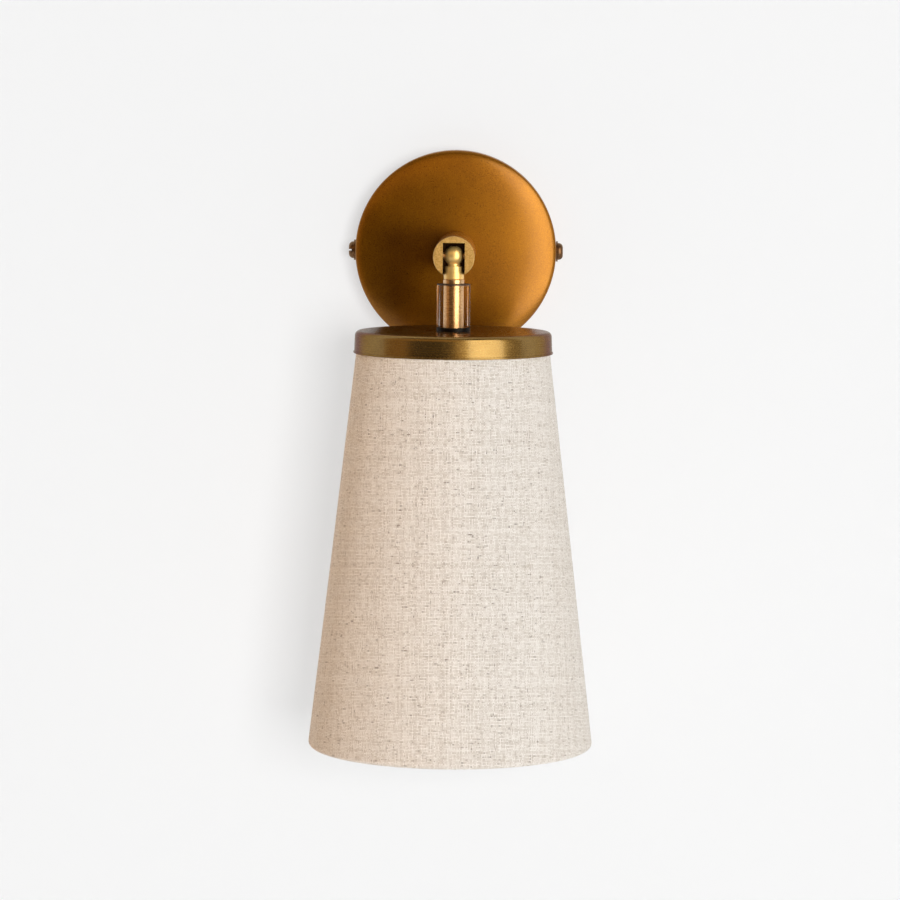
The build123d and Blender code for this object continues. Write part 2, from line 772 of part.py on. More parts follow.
with BuildPart() as clear_sleeve:
    with BuildSketch(stem_section):
        stack((sleeve_radius, sleeve_top, sleeve_end))
        bore((sleeve_radius - sleeve_wall, sleeve_top, sleeve_end))
    revolve(axis=stem_axis)
write(clear_sleeve, "clear_sleeve")

with BuildPart() as sleeve_gasket:
    with BuildSketch(stem_section):
        stack((gasket_radius, sleeve_end, gasket_end))
        bore((stem_radius + hole_clearance, sleeve_end, gasket_end))
    revolve(axis=stem_axis)
write(sleeve_gasket, "sleeve_gasket")

# ============================================================= shade cap
with BuildPart() as shade_cap:
    with BuildSketch(stem_section):
        Polygon(
            (0, cap_top),
            (0, cap_bottom),
            (cap_wall_radius, cap_bottom),
            (cap_wall_radius - cap_top_inset, cap_top),
            align=None,
        )
    revolve(axis=stem_axis)
    rim = shade_cap.edges().filter_by(GeomType.CIRCLE).sort_by(Axis.Z)[-1]
    fillet(rim, cap_edge_radius)
    offset(amount=-cap_wall, openings=shade_cap.faces().sort_by(Axis.Z)[0])
    with BuildSketch(stem_section):
        with Locations((cap_radius, cap_bottom)):
            lip = Rectangle(
                cap_lip + cap_wall / 2, cap_lip_height, align=(Align.MAX, Align.MIN)
            )
        fillet(lip.vertices().group_by(Axis.X)[-1], cap_lip_height / 3)
    revolve(axis=stem_axis)
    with BuildSketch(Plane.XY.offset(cap_top)):
        with Locations((0, -pivot_distance)):
            Circle(stem_radius + hole_clearance)
    extrude(amount=-cap_wall - cut_margin, mode=Mode.SUBTRACT)
write(shade_cap, "shade_cap")

with BuildPart() as cap_washer:
    with BuildSketch(stem_section):
        stack((cap_washer_radius, cap_inside, cap_washer_end))
        bore((stem_radius + hole_clearance, cap_inside, cap_washer_end))
    revolve(axis=stem_axis)
write(cap_washer, "cap_washer")

with BuildPart() as cap_nut:
    hex_nut(
        Plane((0, -pivot_distance, cap_nut_end)), stem_radius + thread_clearance
    )
    chamfer(cap_nut.edges().filter_by(GeomType.LINE).group_by(Axis.Z)[0], hex_nut_edge)
write(cap_nut, "cap_nut")

# ============================================================ lampholder
with BuildPart() as holder_cap:
    with BuildSketch(stem_section):
        with Locations((holder_radius - holder_dome_drop, holder_rim)):
            Circle(holder_dome_drop)
        bore((2 * holder_radius, holder_rim, holder_rim - 2 * holder_dome_drop))
        stack(
            (holder_neck_radius, holder_top, holder_shoulder),
            (holder_radius - holder_dome_drop, holder_shoulder, holder_rim),
            (holder_radius, holder_rim, holder_cap_end),
        )
        with Locations((holder_radius - holder_dome_drop, holder_rim)):
            Circle(holder_dome_drop - holder_wall, mode=Mode.SUBTRACT)
        bore(
            (stem_radius + thread_clearance, holder_top, holder_shoulder - holder_wall),
            (
                holder_radius - holder_dome_drop,
                holder_shoulder - holder_wall,
                holder_rim,
            ),
            (holder_radius - holder_wall, holder_rim, holder_cap_end),
        )
    revolve(axis=stem_axis)
write(holder_cap, "holder_cap")

with BuildPart() as holder_skirt:
    with BuildSketch(stem_section):
        stack((skirt_radius, skirt_top, skirt_bottom))
        bore(
            (skirt_inner_radius, skirt_top, skirt_bottom + skirt_lip_thickness),
            (skirt_lip_radius, skirt_top, skirt_bottom),
        )
        thread_top = skirt_top - skirt_thread_margin
        thread_length = skirt_length - 2 * skirt_thread_margin
        for turn in range(int(thread_length / skirt_thread_pitch)):
            with Locations((skirt_radius, thread_top - turn * skirt_thread_pitch)):
                Rectangle(
                    2 * skirt_thread_depth,
                    skirt_thread_pitch / 2,
                    align=(Align.CENTER, Align.MAX),
                    mode=Mode.SUBTRACT,
                )
    revolve(axis=stem_axis)
write(holder_skirt, "holder_skirt")

with BuildPart() as holder_insert:
    with BuildSketch(stem_section):
        stack((insert_radius, insert_top, insert_bottom))
        bore((holder_shell_outer + hole_clearance, socket_top, insert_bottom))
    revolve(axis=stem_axis)
    with BuildSketch(Plane((0, -pivot_distance, insert_top))):
        with GridLocations(2 * holder_screw_offset, 0, 2, 1):
            Circle(holder_screw_radius + thread_clearance)
    extrude(amount=-holder_screw_depth - seat_gap, mode=Mode.SUBTRACT)
    with BuildSketch(Plane((0, -pivot_distance, insert_top))):
        with Locations(
            (lead_hole_offset, -lead_offset), (-lead_hole_offset, lead_offset)
        ):
            Circle(lead_radius + hole_clearance)
    extrude(amount=-lead_entry - seat_gap, mode=Mode.SUBTRACT)
    with BuildSketch(Plane((0, -pivot_distance, insert_top))):
        with Locations((contact_leg_offset - hole_clearance, 0)):
            Rectangle(
                contact_thickness + 2 * hole_clearance,
                contact_width + 2 * hole_clearance,
                align=(Align.MIN, Align.CENTER),
            )
    extrude(amount=socket_top - insert_top, mode=Mode.SUBTRACT)
    with BuildSketch(Plane((0, -pivot_distance, insert_top))):
        with Locations((-shell_contact_face + hole_clearance, 0)):
            Rectangle(
                contact_thickness + 2 * hole_clearance,
                shell_contact_width + 2 * hole_clearance,
                align=(Align.MAX, Align.CENTER),
            )
    extrude(
        amount=socket_top - insert_top - shell_contact_overlap - hole_clearance,
        mode=Mode.SUBTRACT,
    )
write(holder_insert, "holder_insert")

with BuildPart() as holder_shell:
    with BuildSketch(stem_section):
        rolled_sheet(holder_screw_mean, screw_shell_top, holder_screw_turns)
        with Locations((holder_screw_mean, screw_shell_top)):
            Rectangle(
                screw_sheet,
                socket_top - seat_gap - screw_shell_top,
                align=(Align.MIN, Align.MIN),
            )
    revolve(axis=stem_axis)
write(holder_shell, "holder_shell")

flange_reach = holder_screw_offset + holder_screw_head_radius
with BuildPart() as centre_contact:
    with BuildSketch(Plane.XZ.offset(pivot_distance - contact_width / 2)):
        with Locations((contact_leg_offset, holder_screw_seat)):
            Rectangle(
                flange_reach - contact_leg_offset,
                contact_thickness,
                align=(Align.MIN, Align.MAX),
            )
            Rectangle(
                contact_thickness,
                holder_screw_seat - socket_top + contact_thickness,
                align=(Align.MIN, Align.MAX),
            )
        with Locations((contact_leg_offset, socket_top)):
            Rectangle(
                contact_leg_offset + contact_spring_reach,
                contact_thickness,
                align=(Align.MAX, Align.MAX),
            )
        Polygon(
            (-contact_spring_reach, socket_top - contact_thickness),
            (-contact_spring_reach + 2 * contact_thickness, socket_top - contact_thickness),
            (-contact_pad_half, contact_pad_bottom + contact_thickness),
            (contact_pad_half, contact_pad_bottom + contact_thickness),
            (contact_pad_half, contact_pad_bottom),
            (-contact_pad_half - contact_thickness, contact_pad_bottom),
            align=None,
        )
    extrude(amount=contact_width)
    with BuildSketch(Plane((0, -pivot_distance, holder_screw_seat))):
        with Locations((holder_screw_offset, 0)):
            Circle(holder_screw_radius + hole_clearance)
    extrude(amount=-contact_thickness, mode=Mode.SUBTRACT)
write(centre_contact, "centre_contact")

with BuildPart() as shell_contact:
    with BuildSketch(Plane.XZ.offset(pivot_distance - shell_contact_width / 2)):
        with Locations((-shell_contact_face - contact_thickness, holder_screw_seat)):
            Rectangle(
                shell_contact_face
                + contact_thickness
                - holder_screw_offset
                + holder_screw_head_radius,
                contact_thickness,
                align=(Align.MIN, Align.MAX),
            )
            Rectangle(
                contact_thickness,
                holder_screw_seat - socket_top + shell_contact_overlap,
                align=(Align.MIN, Align.MAX),
            )
    extrude(amount=shell_contact_width)
    with BuildSketch(Plane((0, -pivot_distance, holder_screw_seat))):
        with Locations((-holder_screw_offset, 0)):
            Circle(holder_screw_radius + hole_clearance)
    extrude(amount=-contact_thickness, mode=Mode.SUBTRACT)
write(shell_contact, "shell_contact")

with BuildPart() as holder_screws:
    seat = Plane((0, -pivot_distance, holder_screw_seat))
    for side in (-1, 1):
        with BuildSketch(seat):
            with Locations((side * holder_screw_offset, 0)):
                Circle(holder_screw_head_radius)
        extrude(amount=holder_screw_head_height)
        with BuildSketch(seat):
            with Locations((side * holder_screw_offset, 0)):
                Circle(holder_screw_radius)
        extrude(amount=-holder_screw_depth - contact_thickness)
        with BuildSketch(seat.offset(holder_screw_head_height)):
            with Locations((side * holder_screw_offset, 0)):
                driver_slot(holder_screw_head_radius, holder_screw_slot_width, 90)
        extrude(amount=-holder_screw_head_height / 2, mode=Mode.SUBTRACT)
write(holder_screws, "holder_screws")

# Two fluted rings on the skirt's thread clamp the shade's fitter between them.
with BuildPart() as shade_rings:
    for ring_bottom in (fitter_top, fitter_bottom - shade_ring_thickness):
        with BuildSketch(Plane((0, -pivot_distance, ring_bottom))):
            Circle(shade_ring_radius)
            Circle(skirt_radius + thread_clearance, mode=Mode.SUBTRACT)
            with PolarLocations(shade_ring_radius, shade_ring_flutes):
                Circle(shade_ring_flute_radius, mode=Mode.SUBTRACT)
        extrude(amount=shade_ring_thickness)
write(shade_rings, "shade_rings")

# ================================================================= shade
# The upper ring is welded to three wires that come down to the flat fitter.
with BuildPart() as shade_top_ring:
    with BuildSketch(stem_section):
        with Locations(top_ring):
            Circle(ring_wire_radius)
    revolve(axis=stem_axis)
    with BuildSketch(Plane((0, -pivot_distance, fitter_bottom))):
        Circle(fitter_outer_radius)
        Circle(fitter_inner_radius, mode=Mode.SUBTRACT)
    extrude(amount=fitter_thickness)
    arm_run = Vector(
        top_ring[0] - fitter_arm_start, 0, top_ring[1] - fitter_bottom - fitter_thickness / 2
    )
    for turn in range(fitter_arm_count):
        bearing = turn * 360 / fitter_arm_count - 90
        outward = Vector(cos(radians(bearing)), sin(radians(bearing)), 0)
        start = Vector(0, -pivot_distance, fitter_bottom + fitter_thickness / 2)
        with BuildSketch(
            Plane(
                origin=start + outward * fitter_arm_start,
                z_dir=outward * arm_run.X + Vector(0, 0, arm_run.Z),
            )
        ):
            Circle(fitter_arm_radius)
        extrude(amount=arm_run.length)
write(shade_top_ring, "shade_top_ring")

with BuildPart() as shade_bottom_ring:
    with BuildSketch(stem_section):
        with Locations(bottom_ring):
            Circle(ring_wire_radius)
    revolve(axis=stem_axis)
write(shade_bottom_ring, "shade_bottom_ring")

# The fabric is one cone, rolled over both rings at its ends.
with BuildPart() as shade_fabric:
    with BuildSketch(stem_section):
        with BuildLine():
            faces = []
            for depth in (hem_radius, hem_inner_radius):
                over = CenterArc(top_ring, depth, degrees(lean), hem_wrap)
                under = CenterArc(bottom_ring, depth, degrees(lean), -hem_wrap)
                Line(over @ 0, under @ 0)
                faces.append((over @ 1, under @ 1))
            for outer_end, inner_end in zip(*faces):
                Line(outer_end, inner_end)
        make_face()
    revolve(axis=stem_axis)
write(shade_fabric, "shade_fabric")

liner_face = fabric_thickness + seat_gap
liner_back = liner_face + liner_thickness
liner_top = top_ring[1] - hem_radius - liner_margin
liner_bottom = bottom_ring[1] + hem_radius + liner_margin
with BuildPart() as shade_liner:
    with BuildSketch(stem_section):
        Polygon(
            inside_shade(liner_top, liner_face),
            inside_shade(liner_top, liner_back),
            inside_shade(liner_bottom, liner_back),
            inside_shade(liner_bottom, liner_face),
            align=None,
        )
    revolve(axis=stem_axis)
write(shade_liner, "shade_liner")

# ================================================================== bulb
with BuildPart() as bulb_tip_contact:
    with BuildSketch(stem_section):
        stack((bulb_tip_radius, bulb_tip, insulator_top))
    revolve(axis=stem_axis)
    fillet(bulb_tip_contact.edges().sort_by(Axis.Z)[-1], bulb_tip_crown)
write(bulb_tip_contact, "bulb_tip_contact")

with BuildPart() as bulb_insulator:
    with BuildSketch(stem_section):
        Polygon(
            (0, insulator_top),
            (bulb_insulator_top_radius, insulator_top),
            (bulb_insulator_radius, screw_shell_top + screw_sheet),
            (0, screw_shell_top + screw_sheet),
            align=None,
        )
    revolve(axis=stem_axis)
write(bulb_insulator, "bulb_insulator")

with BuildPart() as bulb_screw_shell:
    with BuildSketch(stem_section):
        rolled_sheet(screw_mean_radius - screw_sheet, screw_shell_top, bulb_screw_turns)
        with Locations((screw_mean_radius, screw_shell_top)):
            Rectangle(
                screw_mean_radius - bulb_insulator_top_radius,
                screw_sheet,
                align=(Align.MAX, Align.MIN),
            )
        with Locations((screw_mean_radius, bulb_cap_end)):
            Rectangle(
                screw_sheet,
                screw_shell_top - bulb_screw_turns * screw_pitch - bulb_cap_end,
                align=(Align.MAX, Align.MIN),
            )
    revolve(axis=stem_axis)
write(bulb_screw_shell, "bulb_screw_shell")

housing_spigot_radius = screw_mean_radius - screw_wave - screw_sheet - hole_clearance
with BuildPart() as bulb_housing:
    with BuildSketch(stem_section):
        Polygon(
            (0, bulb_cap_end + bulb_shell_overlap),
            (housing_spigot_radius, bulb_cap_end + bulb_shell_overlap),
            (housing_spigot_radius, bulb_cap_end),
            (bulb_neck_radius, bulb_cap_end),
            (globe_rim_radius, bulb_housing_end),
            (0, bulb_housing_end),
            align=None,
        )
    revolve(axis=stem_axis)
    offset(amount=-bulb_housing_wall, openings=bulb_housing.faces().sort_by(Axis.Z)[0])
write(bulb_housing, "bulb_housing")

with BuildPart() as bulb_diffuser:
    with BuildSketch(stem_section):
        with Locations((0, globe_centre)):
            Circle(bulb_radius)
            Circle(bulb_radius - bulb_diffuser_wall, mode=Mode.SUBTRACT)
        with Locations((0, bulb_housing_end)):
            Rectangle(
                2 * half_plane,
                half_plane,
                align=(Align.CENTER, Align.MIN),
                mode=Mode.SUBTRACT,
            )
        keep_half()
    revolve(axis=stem_axis)
write(bulb_diffuser, "bulb_diffuser")

with BuildPart() as led_board:
    with BuildSketch(Plane((0, -pivot_distance, board_bottom))):
        Circle(board_radius)
    extrude(amount=board_thickness)
write(led_board, "led_board")

with BuildPart() as led_chips:
    with BuildSketch(Plane((0, -pivot_distance, board_bottom))):
        with PolarLocations(led_circle_radius, led_count):
            Rectangle(led_size, led_size)
    extrude(amount=-led_thickness)
write(led_chips, "led_chips")

# ================================================================= leads
# In the arm the two leads lie one above the other, level with the pivot, and
# turn up to their ways.  In the stem they hang one behind the other.
arm_leads = {
    "live_lead_arm": (1, way_places[-1]),
    "neutral_lead_arm": (-1, way_places[-2]),
}
for name, (layer, way) in arm_leads.items():
    height = pivot_rise + layer * lead_offset
    lane = -(lead_lane + layer * lead_offset)
    route_points = [(0, lead_end_gap - pivot_distance, height), (0, lane, height)]
    route_radii = [lead_bend_radius + (1 - layer) * lead_offset]
    if way:
        route_points.append((way, lane, block_bottom - lead_drop))
        route_radii.append(lead_bend_radius)
    route_points.append((way, lane, block_bottom + lead_entry))
    with BuildPart() as arm_lead:
        lead(route_points, route_radii)
    write(arm_lead, name)

with BuildPart() as earth_lead:
    way = way_places[0]
    lead_depth = -(bracket_thickness + lead_offset)
    lead(
        [
            (way, -lead_lane, block_bottom + lead_entry),
            (way, -lead_lane, block_bottom - lead_drop),
            (-earth_lead_side, lead_depth, earth_lead_knee),
            (-earth_lead_side, lead_depth, earth_lead_end),
        ],
        [lead_bend_radius, lead_bend_radius],
    )
write(earth_lead, "earth_lead")

for name, side in (("live_lead_stem", 1), ("neutral_lead_stem", -1)):
    lane = -pivot_distance - side * lead_offset
    with BuildPart() as stem_lead:
        lead(
            [
                (0, lane, pivot_rise - lead_end_gap),
                (0, lane, holder_shoulder - lead_offset),
                (side * lead_hole_offset, lane, insert_top + lead_drop),
                (side * lead_hole_offset, lane, insert_top - lead_entry),
            ],
            [lead_bend_radius, lead_bend_radius],
        )
    write(stem_lead, name)
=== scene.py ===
"""How the fabric shade wall light looks: its finishes, the linen, the wall and the light.

Lengths are in metres.  The wall is the plane y = 0, the light stands out from it
towards -Y, and +Z is up.
"""

import json
import math
import random

import bmesh
import bpy
from mathutils import Matrix, Vector

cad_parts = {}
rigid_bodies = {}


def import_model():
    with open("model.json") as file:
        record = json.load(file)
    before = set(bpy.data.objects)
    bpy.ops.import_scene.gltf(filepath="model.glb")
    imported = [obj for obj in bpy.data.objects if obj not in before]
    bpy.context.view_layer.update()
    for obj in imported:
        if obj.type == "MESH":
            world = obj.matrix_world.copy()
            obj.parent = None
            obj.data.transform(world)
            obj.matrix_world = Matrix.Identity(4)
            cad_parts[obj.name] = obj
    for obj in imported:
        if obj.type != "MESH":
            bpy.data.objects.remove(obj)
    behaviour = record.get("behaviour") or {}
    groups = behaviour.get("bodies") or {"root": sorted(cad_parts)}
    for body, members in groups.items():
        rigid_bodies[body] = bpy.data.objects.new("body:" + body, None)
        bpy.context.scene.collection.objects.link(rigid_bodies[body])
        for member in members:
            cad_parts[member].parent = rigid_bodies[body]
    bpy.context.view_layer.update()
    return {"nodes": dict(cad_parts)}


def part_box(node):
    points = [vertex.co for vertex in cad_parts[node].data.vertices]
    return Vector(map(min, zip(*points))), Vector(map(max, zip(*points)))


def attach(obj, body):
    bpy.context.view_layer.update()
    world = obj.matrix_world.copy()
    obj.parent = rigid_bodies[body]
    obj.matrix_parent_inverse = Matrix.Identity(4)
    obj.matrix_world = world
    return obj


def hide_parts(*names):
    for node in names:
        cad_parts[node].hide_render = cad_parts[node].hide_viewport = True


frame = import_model()

MM = 0.001
NODES = frame["nodes"]

# ------------------------------------------------------------------ camera
CAMERA_PLACE = Vector((24.1, -1882.0, 79.0)) * MM
CAMERA_PAN = -0.01403        # radians, to the right
CAMERA_TILT = 0.09547        # radians, downwards
CAMERA_ROLL = 0.00790
CAMERA_LENS = 149.7          # millimetres
CAMERA_SENSOR = 36.0         # millimetres wide

# ------------------------------------------------------------------- light
AMBIENT = (0.26, 0.26, 0.26)       # fill that the room gives matt surfaces
ROOM = (0.86, 0.86, 0.86)          # the pale room, as metal and glass show it
WALL_COLOUR = (0.90, 0.90, 0.90)
WALL_GLOW = 0.57
WALL_RADIUS = 2.4
WALL_GAP = 0.4 * MM          # from the canopy's back to the wall
WALL_HOLE = 44.0 * MM        # cable recess that the canopy hides
FLOOR_DROP = 1.1             # floor below the middle of the canopy
FLOOR_HOLE = MM              # too small to see
STUDIO_DISTANCE = 4.0        # of the lamps
CARD_DISTANCE = 3.0          # of the cards that only metal and glass show
CARD_STEPS = 16              # faces along each side of a card
DISC_SIDES = 96

# Cards: azimuths and elevations in degrees from straight out, colour, strength.
CARDS = {
    "brown_card": ((-52, 2), (-62, 17), (0.030, 0.007, 0.001), 1.0),
    "amber_card": ((-52, 18), (17, 46), (0.80, 0.48, 0.14), 1.0),
    "middle_card": ((2, 18), (-62, 17), (0.90, 0.58, 0.20), 1.0),
    "bright_card": ((18, 61), (-38, 44), (1.0, 0.98, 0.88), 5.0),
    "left_card": ((-86, -52), (-62, 46), (0.55, 0.32, 0.12), 1.0),
    "right_card": ((61, 86), (-62, 44), (0.42, 0.30, 0.15), 1.0),
    "ceiling_card": ((-86, 86), (46, 74), (0.12, 0.06, 0.03), 1.0),
}

# Lamps: azimuth, elevation, width and height in degrees, then level and colour.
WALL_LAMP = (14, 2, 18, 18, 0.62, (1, 1, 1))
KEY_LAMP = (27, -4, 13, 15, 0.80, (1, 1, 1))
WARM_LAMP = (-70, 0, 30, 60, 0.42, (1.0, 0.48, 0.05))

# ------------------------------------------------------- fork and turned metal
FACE_BRASS = (0.72, 0.48, 0.18, 1)     # the fork's machined front
FACE_PITS = (0.50, 0.29, 0.08, 1)
SLOT_SHADE = (0.035, 0.014, 0.005, 1)   # painted shade inside the slot
SLOT_HALF = 5.31 * MM        # just past the slot's side walls, from its middle
SLOT_DEPTH = 5.7 * MM        # just past the slot's back wall, behind the pivot
FACE_DEPTH = 0.25 * MM       # how far back the pale front reaches
FACE_FADE = 0.45 * MM        # where it has given way to the lacquer
SKIN_DEPTH = 0.2 * MM        # the slot's painted shade keeps this far below the barrel's skin
SKIN_FADE = 0.4 * MM         # and is full from here inwards
STREAK_SCALE = 48 * MM       # radius at which a turned streak has its stated length

# ------------------------------------------------------------------- linen
WARP_PITCH = 0.62 * MM       # from thread to thread
WEFT_PITCH = 0.66 * MM
WARP_SEED = 3.0
WEFT_SEED = 11.0
THREAD_SWAY = 0.6 * MM       # how far threads wander to each side
THREAD_APART = 7.31          # step in the slub noise from one thread to the next
SLUB_RATE = 0.16             # step in it from one crossing of a thread to the next
THREAD_TONE = 0.17           # how much whole threads differ in tone
THREAD_GAP_SHADE = 0.22       # painted shade in the gaps between threads, where 1 is on the thread
WEAVE_BUMP = 0.13 * MM
LINEN_DARK = (0.37, 0.27, 0.17, 1)
LINEN_LIGHT = (1.0, 0.95, 0.89, 1)
FLECK_COLOUR = (0.24, 0.18, 0.14, 1)
FLECK_SHARE = 0.8
FLECK_CLUSTER = 14 * MM      # size of the clouds in which flecks gather
SHADE_SEGMENTS = 540
SHADE_ROWS = 120
HEM_STEPS = 12
HEM_WRAP = math.radians(195)
HEM_GAP = 0.02 * MM          # between a wire and the cloth turned round it
SEAM_WIDTH = 9.0 * MM        # where the linen's two ends lap, behind
SEAM_EDGE = 0.5 * MM
SEAM_RISE = 0.35 * MM        # how far the lap stands up
PUCKER_WAVES = (3, 5, 8, 13, 21, 34)   # times round the shade
PUCKER_SEED = 5
PUCKER_DEPTH = 0.10 * MM
PUCKER_HEIGHT = 31 * MM      # height over which the cloth's swell turns by one radian


def middle(node):
    """Middle of a CAD node's box."""
    low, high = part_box(node)
    return (low + high) / 2


STEM = middle("stem_tube")
AXIS_Y = STEM.y


# ========================================================== node materials
def add_node(tree, kind, values=(), **settings):
    """Adds a node, sets its options, and fills inputs with values or other sockets."""
    made = tree.nodes.new("ShaderNode" + kind)
    for name, value in settings.items():
        setattr(made, name, value)
    for key, value in dict(values).items():
        if isinstance(value, bpy.types.NodeSocket):
            tree.links.new(value, made.inputs[key])
        else:
            made.inputs[key].default_value = value
    return made


def new_material(name, **uniform):
    """A material with one Principled shader, some of whose sockets are set."""
    made = bpy.data.materials.new(name)
    made.use_nodes = True
    shader = made.node_tree.nodes["Principled BSDF"]
    for key, value in uniform.items():
        shader.inputs[key.replace("_", " ")].default_value = value
    return made, made.node_tree, shader


def maths(tree, operation, first, second=0.0):
    return add_node(tree, "Math", {0: first, 1: second}, operation=operation).outputs[0]


def vector_maths(tree, operation, first, second=(0, 0, 0)):
    made = add_node(tree, "VectorMath", {0: first, 1: second}, operation=operation)
    return made.outputs["Value" if operation == "LENGTH" else "Vector"]


def place(tree):
    """Where a point is in the piece's own frame, in metres."""
    return add_node(tree, "TexCoord").outputs["Object"]


def noise(tree, where, size, detail=2.0, rough=0.5):
    """Noise from 0 to 1 whose features are about this long, in metres."""
    values = {"Vector": where, "Scale": 1 / size, "Detail": detail, "Roughness": rough}
    return add_node(tree, "TexNoise", values).outputs["Fac"]


def spread(tree, value, low, high, out_low=0.0, out_high=1.0):
    """Stretches a value from low..high to out_low..out_high, held at the ends."""
    values = {
        "Value": value,
        "From Min": low,
        "From Max": high,
        "To Min": out_low,
        "To Max": out_high,
    }
    return add_node(tree, "MapRange", values, clamp=True).outputs["Result"]


def mix(tree, share, first, second):
    """Mixes two colours."""
    made = add_node(tree, "Mix", {0: share, 6: first, 7: second}, data_type="RGBA")
    return made.outputs[2]


def bump(tree, shader, height, depth):
    """Bump of this depth, in metres, on what the shader already has."""
    values = {"Height": height, "Distance": depth, "Strength": 1.0}
    normal = shader.inputs["Normal"]
    if normal.is_linked:
        values["Normal"] = normal.links[0].from_socket
    made = add_node(tree, "Bump", values)
    tree.links.new(made.outputs[0], normal)


def connect(tree, shader, **sockets):
    """Links sockets to the shader's inputs of the same names."""
    for key, socket in sockets.items():
        tree.links.new(socket, shader.inputs[key.replace("_", " ")])


def about_axis(tree, where, stem):
    """Unit vector out from the axis, distance from it, and place along it."""
    parts = add_node(tree, "SeparateXYZ", {0: where}).outputs
    if stem:
        across, along = maths(tree, "SUBTRACT", parts["Y"], AXIS_Y), parts["Z"]
    else:
        across, along = parts["Z"], parts["Y"]
    flat = add_node(tree, "CombineXYZ", {"X": parts["X"], "Y": across}).outputs[0]
    return (
        vector_maths(tree, "NORMALIZE", flat),
        vector_maths(tree, "LENGTH", flat),
        along,
    )


def turning_lines(tree, where, stem, length, width):
    """Noise in fine rings about the axis, as a lathe or a brush leaves them."""
    outward, distance, along = about_axis(tree, where, stem)
    round_part = add_node(tree, "VectorMath", {0: outward}, operation="SCALE")
    round_part.inputs["Scale"].default_value = STREAK_SCALE / length
    rise = maths(tree, "MULTIPLY", maths(tree, "ADD", distance, along), 1 / width)
    rise = add_node(tree, "CombineXYZ", {"Z": rise}).outputs[0]
    where = vector_maths(tree, "ADD", round_part.outputs[0], rise)
    return noise(tree, where, 1.0, detail=3.0, rough=0.6)


def metal(name, light, dark, rough, grain, grain_depth, **options):
    """Metal with mottled colour, fine grain, and turned lines where asked for.

    lines is (about the stem, streak length, streak width, depth); coat is the
    lacquer's weight and coat_rough its roughness; patch is the mottle's size and
    speckle the grain's share of it; edge is the colour at grazing angles.
    """
    made, tree, shader = new_material(
        name,
        Metallic=options.get("metallic", 1.0),
        Coat_Weight=options.get("coat", 0.0),
        Coat_Roughness=options.get("coat_rough", 0.1),
        Specular_Tint=(*options.get("edge", (1.0, 0.93, 0.80)), 1.0),
    )
    where = place(tree)
    patches = noise(tree, where, options.get("patch", 14 * MM), detail=3.0)
    grains = noise(tree, where, grain, detail=2.0, rough=0.7)
    speckle = options.get("speckle", 0.5)
    tone = maths(
        tree,
        "ADD",
        spread(tree, patches, 0.3, 0.7, 0.0, 1.0 - speckle),
        spread(tree, grains, 0.28, 0.72, 0.0, speckle),
    )
    roughness = spread(tree, grains, 0.25, 0.75, rough - 0.05, rough + 0.07)
    if "lines" in options:
        stem, length, width, depth = options["lines"]
        streaks = turning_lines(tree, where, stem, length, width)
        tone = maths(tree, "MULTIPLY", tone, spread(tree, streaks, 0.2, 0.8, 0.4, 1.3))
        worn = spread(tree, streaks, 0.3, 0.7, -0.05, 0.06)
        roughness = maths(tree, "ADD", roughness, worn)
        bump(tree, shader, streaks, depth)
    bump(tree, shader, grains, grain_depth)
    connect(
        tree,
        shader,
        Base_Color=mix(tree, tone, (*dark, 1), (*light, 1)),
        Roughness=roughness,
    )
    return made


def plastic(name, light, dark, rough, grain=0.4 * MM, depth=0.01 * MM, **uniform):
    """Moulded plastic, rubber or ceramic: a faint mottle and a fine skin texture."""
    made, tree, shader = new_material(name, **uniform)
    where = place(tree)
    cloud = noise(tree, where, 9 * MM, detail=3.0)
    skin = noise(tree, where, grain, detail=3.0, rough=0.6)
    tone = spread(tree, maths(tree, "ADD", cloud, skin), 0.7, 1.3)
    connect(
        tree,
        shader,
        Base_Color=mix(tree, tone, (*dark, 1), (*light, 1)),
        Roughness=spread(tree, skin, 0.3, 0.7, rough - 0.06, rough + 0.06),
    )
    bump(tree, shader, skin, depth)
    return made


def finish_canopy():
    """Spun brass, brushed back to satin and lacquered over a brown tone."""
    return metal(
        "canopy_brass",
        light=(0.385, 0.152, 0.004),
        dark=(0.17, 0.055, 0.0005),
        rough=0.31,
        grain=0.55 * MM,
        grain_depth=0.028 * MM,
        patch=22 * MM,
        coat=0.25,
        coat_rough=0.2,
        metallic=0.72,
        speckle=0.7,
    )


def finish_cap():
    """Dark turned brass under a thin lacquer, with fine rings about the stem."""
    return metal(
        "cap_brass",
        light=(0.32, 0.205, 0.068),
        dark=(0.20, 0.112, 0.026),
        rough=0.25,
        grain=0.5 * MM,
        grain_depth=0.003 * MM,
        lines=(True, 30 * MM, 0.25 * MM, 0.008 * MM),
        coat=0.25,
        coat_rough=0.12,
        metallic=0.88,
        edge=(0.30, 0.18, 0.08),
    )


